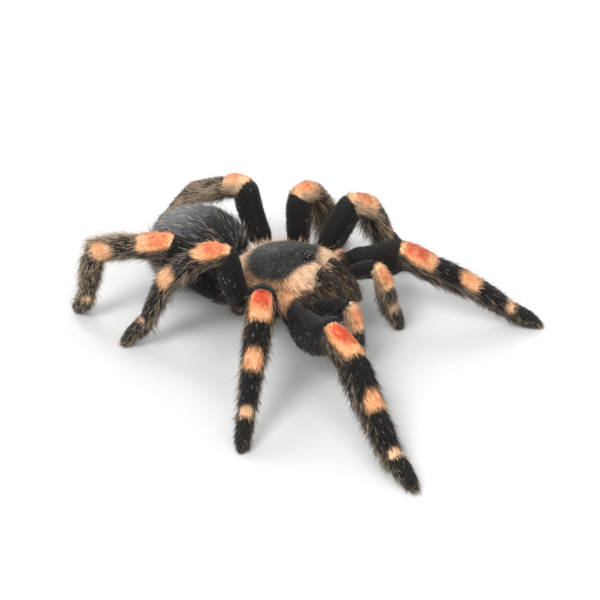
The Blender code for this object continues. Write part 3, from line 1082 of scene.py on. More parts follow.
@dataclass
class Tuft:
    """A closed three-sided spike along Z, the shape that every hair is a bent copy of."""

    levels: tuple[float, ...]
    widths: tuple[float, ...]

    def __post_init__(self) -> None:
        """Builds the spike from a circle that is extruded and drawn to a point."""
        form = bmesh.new()
        verts = bmesh.ops.create_circle(form, segments=3, radius=1.0)["verts"]
        edges = list(form.edges)
        for before, level, width in zip(self.widths, self.levels[1:], (*self.widths[1:], 0.0)):
            made = bmesh.ops.extrude_edge_only(form, edges=edges)["geom"]
            verts = [item for item in made if isinstance(item, bmesh.types.BMVert)]
            edges = [item for item in made if isinstance(item, bmesh.types.BMEdge)]
            for vert in verts:
                vert.co = Vector((vert.co.x * width / before, vert.co.y * width / before, level))
        bmesh.ops.pointmerge(form, verts=verts, merge_co=Vector((0, 0, 1)))
        bmesh.ops.holes_fill(form, edges=form.edges)
        bmesh.ops.triangulate(form, faces=form.faces)
        bmesh.ops.recalc_face_normals(form, faces=form.faces)
        form.verts.index_update()
        self.verts = np.array([vert.co for vert in form.verts])
        self.faces = np.array([[vert.index for vert in face.verts] for face in form.faces])
        form.free()


@dataclass
class Hairs:
    """A batch of hairs, one row for each."""

    roots: np.ndarray
    ways: np.ndarray  # the direction at the root
    lay: np.ndarray  # the direction that the tip bends to
    lengths: np.ndarray
    radii: np.ndarray
    bend: np.ndarray
    marks: np.ndarray
    guard: np.ndarray
    tone: np.ndarray
    patch: np.ndarray  # the root's place on the bake map


@dataclass
class HairMesh:
    """The arrays that a coat piece is made of, filled batch by batch."""

    verts: list[np.ndarray] = field(default_factory=list)
    faces: list[np.ndarray] = field(default_factory=list)
    marks: list[np.ndarray] = field(default_factory=list)
    strands: list[np.ndarray] = field(default_factory=list)
    patches: list[np.ndarray] = field(default_factory=list)
    size: int = 0  # points so far
    patch_size: float = 0.003
    margin_along: float = 0.03  # of a part's field on the bake map
    margin_round: float = 0.06

    def add(self, hairs: Hairs, tuft: Tuft, points: np.ndarray, row: int, rows: int) -> None:
        """Adds a batch of hairs.

        Args:
            hairs: The hairs.
            tuft: The tuft that they copy.
            points: Their points, a block for each hair.
            row: The part's row on the bake map.
            rows: How many rows the map has.
        """
        count, size = len(hairs.roots), len(tuft.verts)
        self.verts.append(points.reshape(-1, 3))
        offsets = self.size + size * np.arange(count)[:, None, None]
        self.faces.append((tuft.faces[None] + offsets).reshape(-1, 3))
        self.marks.append(np.repeat(hairs.marks, size, axis=0))
        level = np.tile(tuft.verts[:, 2], count)
        strand = [level, np.repeat(hairs.tone, size), np.repeat(hairs.guard, size)]
        self.strands.append(np.stack(strand, axis=1))
        spread = np.stack([tuft.verts[:, 2] - 0.5, tuft.verts[:, 0] / 2], axis=1)
        along = self.margin_along + (1 - 2 * self.margin_along) * np.clip(hairs.patch[:, 0], 0, 1)
        beside = self.margin_round + (1 - 2 * self.margin_round) * hairs.patch[:, 1]
        cell = np.stack([along, (row + beside) / rows], axis=1)
        self.patches.append((cell[:, None, :] + self.patch_size * spread[None]).reshape(-1, 2))
        self.size += count * size

    def make(self, name: str) -> bpy.types.Object:
        """Makes the object of all the hairs.

        Args:
            name: The object's name.

        Returns:
            The object, linked to the scene.
        """
        faces = np.concatenate(self.faces)
        mesh = bpy.data.meshes.new(name)
        mesh.vertices.add(self.size)
        mesh.vertices.foreach_set("co", np.concatenate(self.verts).astype(np.float32).ravel())
        mesh.loops.add(faces.size)
        mesh.loops.foreach_set("vertex_index", faces.astype(np.int32).ravel())
        mesh.polygons.add(len(faces))
        mesh.polygons.foreach_set("loop_start", np.arange(0, faces.size, 3, dtype=np.int32))
        mesh.update(calc_edges=True)
        mesh.shade_smooth()
        write_vectors(mesh, MARKS_AND_SHEEN, np.concatenate(self.marks))
        write_vectors(mesh, STRAND, np.concatenate(self.strands))
        layer = mesh.uv_layers.new(name=BAKE_MAP)
        places = np.concatenate(self.patches)[faces.ravel()]
        layer.data.foreach_set("uv", places.astype(np.float32).ravel())
        item = bpy.data.objects.new(name, mesh)
        bpy.context.scene.collection.objects.link(item)
        return item


def leaned(ways: np.ndarray, pull: np.ndarray, strength: np.ndarray) -> np.ndarray:
    """Directions that are pulled another way, each by its own strength."""
    return unit(ways + pull * strength[:, None])


@dataclass
class Coat:
    """Grows the two coats of hair on the skin. Lengths are in millimetres, steps aside in radians."""

    skin_map: SkinMap
    anatomy: Anatomy
    random: np.random.Generator
    root_sink: float = 0.12  # how deep a root sits in the skin
    upper_side: Step = Step(0.7, 1.5)
    fringe_start: Step = Step(0.9, 0.96)
    shield_forward: float = 0.35  # how strongly the hair at the carapace's front is combed ahead
    shield_down: float = 0.15
    shield_front: Step = Step(0.0, 1.0)
    lift_spread: tuple[float, float] = (0.6, 1.4)
    length_limits: tuple[float, float] = (0.45, 1.6)
    radius_spread: tuple[float, float] = (0.8, 1.2)
    lay_dip: float = 0.2  # how far a bent tip turns into the coat
    lock_size: float = 0.9  # of the cells whose hairs lean together
    lock_stretch: float = 1.6
    lock_pull: float = 0.44
    short_top: float = 0.45  # how much shorter the long hair is on the upper side
    flanks: Step = Step(0.9, 1.7)  # where the long hair stands out
    underside: Step = Step(1.2, 2.2)  # where a left limb's long hair is at its longest
    loose: float = 0.18  # share of the long hairs that stand out from the rest
    loose_lift: float = 0.35
    loose_extra: float = 0.25
    border_lift: float = 0.5  # how far the hair at the carapace's front stands out over the jaws
    border_front: Step = Step(0.55, 0.8)
    border_extra: float = 0.3  # how much longer the hair round the carapace is than its middle's
    eye_stubble: float = 0.28  # length of the hair among the eyes, against the rest
    eye_clearing: Step = Step(1.4, 2.6)
    foot: Step = Step(0.72, 0.95)  # the tarsus's end
    foot_lift: float = 0.45
    foot_guard: float = 0.3
    bare_tops: dict[Kind, float] = field(default_factory=lambda: {Kind.ABDOMEN: 0.3, Kind.CARAPACE: 0.55})
    bare_top: float = 0.7  # how much rarer guard hairs are on a limb's upper side
    brown_bare_top: float = 0.35  # the same, on a brown limb
    guard_least: float = 0.3  # in the lock with the fewest guard hairs
    guard_by_lock: float = 1.3
    guard_strength: tuple[float, float] = (0.5, 1.0)
    ragged_edge: float = 0.35  # how far a hair's colour may be taken from its root
    streak: float = 0.8  # how much paler one lock may be than another
    dark_hairs: float = 0.12  # share of a band's hairs that are darker
    dark_share: float = 0.45  # what is left of their colour
    lock_tone: float = 0.6  # how much of a hair's tone its lock gives
    painted_border_light: float = 0.2  # painted light: how much lighter the hair round the carapace is made, standing in for light that its border does not get
    painted_top_sheen: float = 0.45  # painted sheen: how much lighter the top of the abdomen is, where it faces up
    # where the abdomen's painted sheen lies: where the skin faces up, and behind its front
    sheen_facing_up: Step = Step(0.5, 0.95)
    sheen_behind_front: Step = Step(0.15, 0.6)
    floor_gap: float = 0.02
    side_nudge: float = 1e-4  # keeps a hair's side defined where it lies flat
    short_tuft: Tuft = field(default_factory=lambda: Tuft((0.0, 1.0), (1.0,)))
    long_tuft: Tuft = field(default_factory=lambda: Tuft((0.0, 0.5, 1.0), (1.0, 0.8)))

    def lie(self, spots: Spots) -> np.ndarray:
        """The way that hair is combed.

        Args:
            spots: The hairs' roots.

        Returns:
            Rows of directions along the skin.
        """
        part = spots.part
        along, dorsal = np.array(part.along), np.array(part.dorsal)
        comb = np.tile(along, (len(spots.points), 1))
        if part.kind in (Kind.CARAPACE, Kind.UNDERBODY):
            offset = spots.points - np.array(part.middle)
            level = unit(offset - (offset @ dorsal)[:, None] * dorsal)
            comb = level - self.shield_down * dorsal
            if part.kind is Kind.CARAPACE:
                comb = comb + self.shield_forward * along * self.shield_front.up(level @ along)[:, None]
        comb = comb - (comb * spots.normals).sum(1)[:, None] * spots.normals
        return unit(comb)

    def locks(self, spots: Spots) -> tuple[np.ndarray, np.ndarray]:
        """Gathers hairs into locks, laid like bricks round the part.

        Args:
            spots: The hairs' roots.

        Returns:
            How far each root is from the middle of its lock, and its lock's tone.
        """
        part, points = spots.part, spots.points
        cell = self.lock_size * MM
        offset = points - np.array(part.origin)
        out = offset - (offset @ np.array(part.along))[:, None] * np.array(part.along)
        girth = np.linalg.norm(out, axis=1)
        rows = np.floor(spots.share * part.length / cell / self.lock_stretch).astype(int)
        around = np.floor(spots.turn * girth.mean() / cell + rows / 2).astype(int)
        _, lock = np.unique(np.stack([rows, around], axis=1), axis=0, return_inverse=True)
        lock = lock.ravel()
        size = np.maximum(np.bincount(lock), 1)[:, None]
        middles = np.stack([np.bincount(lock, points[:, axis]) for axis in range(3)], axis=1) / size
        return middles[lock] - points, self.random.random(len(size))[lock]

    def on_top(self, spots: Spots) -> np.ndarray:
        """How much of each point lies on the coat's upper side, which on the carapace is the black patch.

        Args:
            spots: The hairs' roots.

        Returns:
            From 0 at the sides to 1 on top, for each.
        """
        if spots.part.kind is Kind.CARAPACE:
            return 1 - marks_of(spots)[:, 1]
        return self.upper_side.down(spots.aside)

    def kept(self, spots: Spots, sort: HairKind, on_top: np.ndarray) -> np.ndarray:
        """Thins hair out on the upper side.

        Args:
            spots: The hairs' roots.
            sort: How the hair grows.
            on_top: How much of each root lies on the upper side.

        Returns:
            Whether each hair grows.
        """
        upper = sort.top
        if sort.fringe:
            upper = sort.top + (sort.fringe - sort.top) * self.fringe_start.up(spots.share)
        return self.random.random(len(spots.points)) < 1 - (1 - upper) * on_top

    def stretched(self, spots: Spots, on_top: np.ndarray, ways: np.ndarray,
                  lengths: np.ndarray) -> tuple[np.ndarray, np.ndarray]:
        """Lets the long hair stand out and grow where the animal's does.

        Args:
            spots: The hairs' roots.
            on_top: How much of each root lies on the upper side.
            ways: The hairs' directions.
            lengths: Their lengths.

        Returns:
            The new directions and lengths.
        """
        part, look, normals = spots.part, spots.part.look, spots.normals
        lengths = lengths * (1 - self.short_top * on_top)
        if part.has_long_hair:
            under = self.underside.up(spots.aside) if "left" in part.name else 1.0
            lengths = lengths * (1 + (look.long_hair - 1) * under)
            ways = leaned(ways, normals, self.flanks.up(spots.aside) * look.spread)
        loose = self.random.random(len(lengths)) < self.loose
        ways = leaned(ways, normals, loose * self.loose_lift)
        lengths = lengths * (1 + self.loose_extra * loose)
        if part.kind is Kind.CARAPACE:
            lengths = lengths * (1 + self.border_extra * (1 - on_top))
            ways = leaned(ways, normals, self.border_lift * (1 - on_top) * self.border_front.up(spots.share))
        return ways, lengths

    def guard_share(self, spots: Spots, sort: HairKind, on_top: np.ndarray, tone: np.ndarray,
                    is_long: bool) -> np.ndarray:
        """The chance that a hair is a pale guard hair.

        Args:
            spots: The hairs' roots.
            sort: How the hair grows.
            on_top: How much of each root lies on the upper side.
            tone: The tone of each hair's lock.
            is_long: Whether it is the coat of long hair.

        Returns:
            Each hair's chance.
        """
        part, look = spots.part, spots.part.look
        share, bare = sort.guard, self.bare_tops.get(part.kind, self.bare_top)
        if part.kind in OUTER_KINDS and look.brown_coat:
            share, bare = max(share, look.brown_coat), self.brown_bare_top
        if is_long and part.has_long_hair and look.long_guard:
            share = look.long_guard
        share = share * (1 - bare * on_top) * (self.guard_least + self.guard_by_lock * tone)
        if part.kind is Kind.PATELLA:
            share = share * look.knee_start.up(spots.share)
        return share

    def painted_light(self, spots: Spots, on_top: np.ndarray) -> np.ndarray | float:
        """Paints light into the hair: a painted sheen on top of the abdomen and painted light on the hair
        round the carapace.

        Args:
            spots: The hairs' roots.
            on_top: How much of each root lies on the upper side.

        Returns:
            The painted light that is added to each hair's tone.
        """
        if spots.part.kind is Kind.ABDOMEN:
            return self.painted_top_sheen * self.sheen_facing_up.up(spots.normals[:, 2]) * self.sheen_behind_front.up(spots.share)
        return self.painted_border_light * (1 - on_top) if spots.part.kind is Kind.CARAPACE else 0.0

    def grow(self, index: int, sort: HairKind, is_long: bool) -> Hairs:
        """Grows one sort of hair on one part.

        Args:
            index: The part's place in the anatomy's flesh.
            sort: How the hair grows.
            is_long: Whether it is the coat of long hair.

        Returns:
            The hairs.
        """
        random = self.random
        spots = self.skin_map.scatter(index, sort.density, random)
        on_top = self.on_top(spots)
        keep = self.kept(spots, sort, on_top)
        spots, on_top = spots.chosen(keep), on_top[keep]
        part, normals, count = spots.part, spots.normals, len(on_top)
        lay = self.lie(spots)
        yaw = np.radians(random.normal(0, sort.stray, count))[:, None]
        lay = lay * np.cos(yaw) + np.cross(normals, lay) * np.sin(yaw)
        lift = np.radians(sort.lift * random.uniform(*self.lift_spread, count))[:, None]
        ways = lay * np.cos(lift) + normals * np.sin(lift)
        lengths = sort.length * MM * np.clip(random.normal(1, sort.ragged, count), *self.length_limits)
        lean, tone = self.locks(spots)
        if is_long:
            ways, lengths = self.stretched(spots, on_top, ways, lengths)
            ways = leaned(ways, lean, sort.lean * self.lock_pull / np.maximum(lengths, MM))
        if part.kind is Kind.CARAPACE:
            eyes = np.array(self.anatomy.parts["eye_mound"].middle)
            clear = self.eye_clearing.up(np.linalg.norm(spots.points - eyes, axis=1) / MM)
            lengths = lengths * (self.eye_stubble + (1 - self.eye_stubble) * clear)
        foot = self.foot.up(spots.share) if part.kind is Kind.TARSUS else np.zeros(count)
        ways = leaned(ways, normals, self.foot_lift * foot)
        chance = self.guard_share(spots, sort, on_top, tone, is_long) + self.foot_guard * foot
        guard = (random.random(count) < chance) * random.uniform(*self.guard_strength, count)
        strayed = spots.points + random.normal(0, self.ragged_edge * MM, spots.points.shape)
        marks = marks_of(Spots.on(part, strayed, normals))
        marks[:, 2] = np.clip(marks[:, 2] + marks[:, 1] * self.streak * (tone - 0.5), 0, 1)
        marks[random.random(count) < self.dark_hairs, :] *= self.dark_share
        # painted light: the sheen on the abdomen's top and the lighter hair round the carapace's border
        painted_light = self.painted_light(spots, on_top)
        return Hairs(
            roots=spots.points - normals * self.root_sink * MM,
            ways=ways,
            lay=lay - normals * self.lay_dip,
            lengths=lengths,
            radii=sort.root_radius * MM * random.uniform(*self.radius_spread, count),
            bend=np.full(count, sort.bend),
            marks=marks,
            guard=guard,
            tone=self.lock_tone * tone + (1 - self.lock_tone) * random.random(count) + painted_light,
            patch=np.stack([spots.share, spots.turn / (2 * math.pi) + 0.5], axis=1),
        )

    def shape(self, hairs: Hairs, tuft: Tuft) -> np.ndarray:
        """Bends the tuft along every hair.

        Args:
            hairs: The hairs.
            tuft: The tuft that they copy.

        Returns:
            The points, a block for each hair.
        """
        across, over, level = (tuft.verts[:, axis][None, :, None] for axis in range(3))
        ways, lay = hairs.ways[:, None, :], hairs.lay[:, None, :]
        curve = level * ways + level**2 * hairs.bend[:, None, None] * (lay - ways)
        spine = hairs.roots[:, None, :] + hairs.lengths[:, None, None] * curve
        side = unit(np.cross(hairs.ways, hairs.lay + self.side_nudge))[:, None, :]
        points = spine + hairs.radii[:, None, None] * (across * side + over * unit(np.cross(side, ways)))
        points[:, :, 2] = np.maximum(points[:, :, 2], self.floor_gap * MM)
        return points

    def piece(self, name: str, parts: list[Part]) -> bpy.types.Object:
        """One mesh of all the hair on some parts, with its markings and its bake map.

        Args:
            name: The piece's name.
            parts: The parts that it covers.

        Returns:
            The finished coat piece.
        """
        mesh = HairMesh()
        coats = ((self.short_tuft, UNDERCOAT, False), (self.long_tuft, OVERCOAT, True))
        for row, part in enumerate(parts):
            index = self.anatomy.flesh.index(part)
            for tuft, sorts, is_long in coats:
                hairs = self.grow(index, sorts[part.kind], is_long)
                mesh.add(hairs, tuft, self.shape(hairs, tuft), row, len(parts))
        return mesh.make(name)


class Nodes:
    """A node tree that is being built."""

    def __init__(self, tree: bpy.types.NodeTree) -> None:
        """Starts on an empty tree."""
        self.tree = tree
        tree.nodes.clear()

    def add(self, kind: str, **settings: object) -> bpy.types.Node:
        """Adds a node and sets its properties.

        Args:
            kind: The node's type.
            **settings: The values of its properties.

        Returns:
            The node.
        """
        node = self.tree.nodes.new(kind)
        for name, value in settings.items():
            setattr(node, name, value)
        return node

    def link(self, source: bpy.types.NodeSocket, target: bpy.types.NodeSocket) -> None:
        """Joins an output to an input."""
        self.tree.links.new(source, target)

    def math(self, operation: str, first: bpy.types.NodeSocket, second: object) -> bpy.types.NodeSocket:
        """Adds a Math node.

        Args:
            operation: What it does.
            first: The output that it works on.
            second: Another output, or a number.

        Returns:
            Its result.
        """
        node = self.add("ShaderNodeMath", operation=operation)
        self.link(first, node.inputs[0])
        if isinstance(second, bpy.types.NodeSocket):
            self.link(second, node.inputs[1])
        else:
            node.inputs[1].default_value = second
        return node.outputs[0]

    def mix(self, share: bpy.types.NodeSocket, first: bpy.types.NodeSocket,
            second: bpy.types.NodeSocket) -> bpy.types.NodeSocket:
        """Adds a Mix node for colours.

        Args:
            share: How much of the second colour there is.
            first: One colour.
            second: The other.

        Returns:
            The mixed colour.
        """
        node = self.add("ShaderNodeMix", data_type="RGBA")
        self.link(share, node.inputs["Factor"])
        for socket, colour in zip(MIXED_INPUTS, (first, second)):
            self.link(colour, node.inputs[socket])
        return node.outputs[MIXED_OUTPUT]

    def split(self, vector: bpy.types.NodeSocket) -> list[bpy.types.NodeSocket]:
        """Adds a node that takes a vector apart.

        Args:
            vector: The vector.

        Returns:
            Its three parts.
        """
        node = self.add("ShaderNodeSeparateXYZ")
        self.link(vector, node.inputs[0])
        return list(node.outputs)

    def noise(self, scale: float, detail: float) -> bpy.types.NodeSocket:
        """Adds a fine noise that sits in the object's own space.

        Args:
            scale: How fine it is, in waves to the metre.
            detail: How many finer noises are laid over it.

        Returns:
            Its value.
        """
        node = self.add("ShaderNodeTexNoise")
        node.inputs["Scale"].default_value = scale
        node.inputs["Detail"].default_value = detail
        self.link(self.add("ShaderNodeTexCoord").outputs["Object"], node.inputs["Vector"])
        return node.outputs["Fac"]

    def surface(self, shader: bpy.types.Node) -> None:
        """Makes a shader the material's surface."""
        self.link(shader.outputs[0], self.add("ShaderNodeOutputMaterial").inputs["Surface"])


MIXED_INPUTS = (6, 7)  # the colour sockets of a Mix node, which share their names with others
MIXED_OUTPUT = 2
OPAQUE = 1.0


def new_material(name: str) -> tuple[bpy.types.Material, Nodes]:
    """Makes a material of nodes.

    Args:
        name: The material's name.

    Returns:
        The material and its empty node tree.
    """
    material = bpy.data.materials.new(name)
    material.use_nodes = True
    return material, Nodes(material.node_tree)


@dataclass(frozen=True)
class HairGroup:
    """The node group that colours a hair by its markings and by the place along it."""

    name: str = "hair_colour"
    vectors: tuple[str, ...] = ("Marks", "Strand")
    colours: tuple[str, ...] = ("Ground", "Knee", "Band", "Pale", "Guard")
    pale_most: float = 0.9  # how far the pale marking can cover what lies under it
    guard_root: float = 0.4  # how much of its pale colour a guard hair has at its root
    root_shade: float = 0.58  # brightness of the darkest hair at its root
    tone_shade: float = 0.5  # how much brighter a hair of the lightest tone is
    tip_shade: float = 0.35  # how much brighter a hair's tip is than its root

    def tree(self) -> bpy.types.NodeTree:
        """Builds the group, or finds it if it has been built.

        Returns:
            The group's tree.
        """
        if self.name in bpy.data.node_groups:
            return bpy.data.node_groups[self.name]
        tree = bpy.data.node_groups.new(self.name, "ShaderNodeTree")
        for label in self.vectors:
            tree.interface.new_socket(label, in_out="INPUT", socket_type="NodeSocketVector")
        for label in self.colours:
            tree.interface.new_socket(label, in_out="INPUT", socket_type="NodeSocketColor")
        tree.interface.new_socket("Color", in_out="OUTPUT", socket_type="NodeSocketColor")
        nodes = Nodes(tree)
        given = nodes.add("NodeGroupInput").outputs
        knee, band, pale = nodes.split(given["Marks"])
        along, tone, guard = nodes.split(given["Strand"])
        colour = nodes.mix(band, given["Ground"], given["Band"])
        colour = nodes.mix(knee, colour, given["Knee"])
        colour = nodes.mix(nodes.math("MULTIPLY", pale, self.pale_most), colour, given["Pale"])
        to_tip = nodes.math("ADD", nodes.math("MULTIPLY", along, 1 - self.guard_root), self.guard_root)
        colour = nodes.mix(nodes.math("MULTIPLY", guard, to_tip), colour, given["Guard"])
        shade = nodes.math("ADD", nodes.math("MULTIPLY", tone, self.tone_shade),
                           nodes.math("MULTIPLY", along, self.tip_shade))
        tint = nodes.add("ShaderNodeHueSaturation")
        nodes.link(nodes.math("ADD", shade, self.root_shade), tint.inputs["Value"])
        nodes.link(colour, tint.inputs["Color"])
        nodes.link(tint.outputs[0], nodes.add("NodeGroupOutput").inputs["Color"])
        return tree


@dataclass(frozen=True)
class CoatFinish:
    """The colours and gloss of hair."""

    name: str
    ground: Colour = (0.007, 0.006, 0.0055)
    knee: Colour = (0.70, 0.085, 0.03)
    band: Colour = (0.92, 0.41, 0.165)
    pale: Colour = (0.96, 0.74, 0.50)
    guard: Colour = (0.86, 0.64, 0.42)
    roughness: float = 0.5
    specular: float = 0.15
    sheen: float = 0.12
    sheen_roughness: float = 0.45
    bump: float = 0.0  # depth of the skin's own grain, in millimetres
    bump_strength: float = 0.7
    grain_scale: float = 2400.0
    grain_detail: float = 3.0

    def material(self) -> bpy.types.Material:
        """Builds the material, which reads the markings and the strand from the mesh.

        Returns:
            The material.
        """
        material, nodes = new_material(self.name)
        sort = HairGroup()
        group = nodes.add("ShaderNodeGroup", node_tree=sort.tree())
        for label, name in zip(sort.vectors, (MARKS_AND_SHEEN, STRAND)):
            layer = nodes.add("ShaderNodeAttribute", attribute_name=name)
            nodes.link(layer.outputs["Vector"], group.inputs[label])
        for label in sort.colours:
            group.inputs[label].default_value = (*getattr(self, label.lower()), OPAQUE)
        shader = nodes.add("ShaderNodeBsdfPrincipled")
        nodes.link(group.outputs["Color"], shader.inputs["Base Color"])
        shader.inputs["Roughness"].default_value = self.roughness
        shader.inputs["Specular IOR Level"].default_value = self.specular
        shader.inputs["Sheen Weight"].default_value = self.sheen
        shader.inputs["Sheen Roughness"].default_value = self.sheen_roughness
        if self.bump:
            bump = nodes.add("ShaderNodeBump")
            bump.inputs["Strength"].default_value = self.bump_strength
            bump.inputs["Distance"].default_value = self.bump * MM
            nodes.link(nodes.noise(self.grain_scale, self.grain_detail), bump.inputs["Height"])
            nodes.link(bump.outputs[0], shader.inputs["Normal"])
        nodes.surface(shader)
        return material


LEG_HAIR = CoatFinish("leg_hair")
SHIELD_HAIR = CoatFinish("shield_hair", ground=(0.032, 0.034, 0.029), band=(0.96, 0.50, 0.25),
                         pale=(0.98, 0.80, 0.58), guard=(0.62, 0.58, 0.48), sheen=0.2)
# the abdomen's band and pale colours are the painted bluish-grey sheen on its top; ground and guard are the
# hair's own colours
ABDOMEN_HAIR = CoatFinish("abdomen_hair", ground=(0.018, 0.018, 0.019), band=(0.22, 0.226, 0.235),
                          pale=(0.2, 0.21, 0.22), guard=(0.92, 0.72, 0.56), sheen=0.1)
JAW_HAIR = CoatFinish("jaw_hair", ground=(0.032, 0.020, 0.014), guard=(0.66, 0.43, 0.23))
UNDER_HAIR = CoatFinish("under_hair", ground=(0.012, 0.009, 0.008), band=(0.85, 0.42, 0.21),
                        guard=(0.55, 0.46, 0.37))
SKIN_FINISH = CoatFinish("skin", ground=(0.008, 0.007, 0.006), roughness=0.65, bump=0.06)


@dataclass(frozen=True)
class HornFinish:
    """A hard, polished surface with faint streaks."""

    name: str
    dark: Colour
    light: Colour
    roughness: float
    coat: float
    coat_roughness: float = 0.04
    grain_scale: float = 900.0
    grain_detail: float = 2.0

    def material(self) -> bpy.types.Material:
        """Builds the material.

        Returns:
            The material.
        """
        material, nodes = new_material(self.name)
        ends = [nodes.add("ShaderNodeRGB").outputs[0] for _ in (self.dark, self.light)]
        for end, colour in zip(ends, (self.dark, self.light)):
            end.default_value = (*colour, OPAQUE)
        shader = nodes.add("ShaderNodeBsdfPrincipled")
        grain = nodes.noise(self.grain_scale, self.grain_detail)
        nodes.link(nodes.mix(grain, *ends), shader.inputs["Base Color"])
        shader.inputs["Roughness"].default_value = self.roughness
        shader.inputs["Coat Weight"].default_value = self.coat
        shader.inputs["Coat Roughness"].default_value = self.coat_roughness
        nodes.surface(shader)
        return material


EYE_FINISH = HornFinish("eye_lens", (0.004, 0.003, 0.003), (0.02, 0.014, 0.010), 0.12, 1.0)
FANG_FINISH = HornFinish("fang_horn", (0.006, 0.004, 0.004), (0.03, 0.013, 0.009), 0.32, 0.25)


@dataclass
class Eyes:
    """The eight eyes. Places are beside, above and ahead of their mound's middle, in millimetres."""

    anatomy: Anatomy
    places: tuple[tuple[float, float, float], ...] = (
        (0.6, 0.74, 0.82), (1.3, 0.38, 0.66), (1.32, 0.5, -0.35), (0.72, 0.88, -0.32))
    radii: tuple[float, ...] = (0.32, 0.36, 0.34, 0.26)
    flatness: float = 0.8
    centre_drop: float = 0.35  # from the node's box middle to the mound's own
    segments: int = 20
    rings: int = 12

    def build(self) -> bpy.types.Object:
        """Makes all eight lenses as one mesh.

        Returns:
            The eyes.
        """
        mound = self.anatomy.parts["eye_mound"]
        up, ahead = self.anatomy.up, self.anatomy.forward
        left = ahead.cross(up)
        centre = mound.middle - up * self.centre_drop * MM
        form = bmesh.new()
        for side in (-1, 1):
            for (beside, above, front), radius in zip(self.places, self.radii):
                offset = left * side * beside + up * above + ahead * front
                made = bmesh.ops.create_uvsphere(form, u_segments=self.segments, v_segments=self.rings,
                                                 radius=radius * MM)
                verts = made["verts"]
                bmesh.ops.scale(form, vec=(1, 1, self.flatness), verts=verts)
                turn = offset.normalized().to_track_quat("Z", "Y").to_matrix().to_4x4()
                bmesh.ops.transform(form, matrix=Matrix.Translation(centre + offset * MM) @ turn, verts=verts)
        return new_object("eyes", form)


@dataclass
class Fangs:
    """The two fangs: curved horns, hinged at the jaws' tips and folded back as their nodes are."""

    anatomy: Anatomy
    rings: int = 5
    ring_reach: float = 0.4  # how far from a ring its points are read, as a share of the gap between rings
    sides: int = 16
    base_radius: float = 1.15  # in millimetres
    base_depth: float = 1.6
    base_share: float = 0.86  # where along the jaw the base sits

    def build(self, side: str) -> bpy.types.Object:
        """Makes one fang.

        Args:
            side: One of SIDES.

        Returns:
            The fang.
        """
        part, jaw = self.anatomy.parts[f"fang_{side}"], self.anatomy.parts[f"chelicera_{side}"]
        share = part.share_and_turn(part.points)[0]
        base = jaw.middle - jaw.along * jaw.length * (0.5 - self.base_share)
        points, radii = [base, base - jaw.dorsal * self.base_depth * MM], [self.base_radius * MM] * 2
        for ring in range(self.rings):
            rows = part.points[np.abs(share * (self.rings - 1) - ring) < self.ring_reach]
            centre = rows.mean(0)
            points.append(Vector(centre))
            radii.append(float(np.linalg.norm(rows - centre, axis=1).mean()))
        fang = new_object(f"fang_{side}_horn", swept(points, radii, self.sides))
        smooth = fang.modifiers.new("round", "SUBSURF")
        smooth.levels = smooth.render_levels = 1
        settle(fang)
        return fang


@dataclass
class Claws:
    """A pair of small hooked claws at the end of each limb. Sizes are in millimetres."""

    anatomy: Anatomy
    length: float = 1.3
    radius: float = 0.16
    taper: float = 0.92  # share of the radius that is lost towards the point
    spread: float = 0.38
    hook: float = 0.55
    inset: float = 0.75
    least_height: float = 1.1  # of a claw's root over the floor
    steps: int = 5
    sides: int = 8

    def claw(self, place: Matrix, beside: float) -> bmesh.types.BMesh:
        """Makes one hooked claw.

        Args:
            place: Where it goes, for a claw built along Z.
            beside: How far it is moved aside.

        Returns:
            The claw.
        """
        rings = []
        for step in range(self.steps + 1):
            share = step / self.steps
            girth = self.radius * (1 - self.taper * share)
            rings.append(Ring(share * self.length, girth, girth, -self.hook * share * share))
        form = loft(rings, self.sides)
        bmesh.ops.translate(form, vec=Vector((beside, 0, 0)), verts=form.verts)
        form.transform(place @ Matrix.Scale(MM, 4))
        return form

    def build(self) -> bpy.types.Object:
        """Makes the claws of all ten limbs as one mesh.

        Returns:
            The claws.
        """
        forms = []
        for part in self.anatomy.parts.values():
            if part.kind is not Kind.TARSUS:
                continue
            tip = part.origin + part.along * (part.length - self.inset * MM) + part.dorsal * self.spread * MM
            tip.z = max(tip.z, self.least_height * MM)
            for beside in (-self.spread, self.spread):
                forms.append(self.claw(place_of(tip, part.along, part.dorsal), beside))
        whole = joined(forms)
        for vert in whole.verts:
            vert.co.z = max(vert.co.z, 0.0)
        return new_object("claws", whole)


@dataclass(frozen=True)
class Sun:
    """A far, soft light. Angles are in degrees, and the one around counts from the camera's."""

    name: str
    around: float
    rise: float
    spread: float
    strength: float


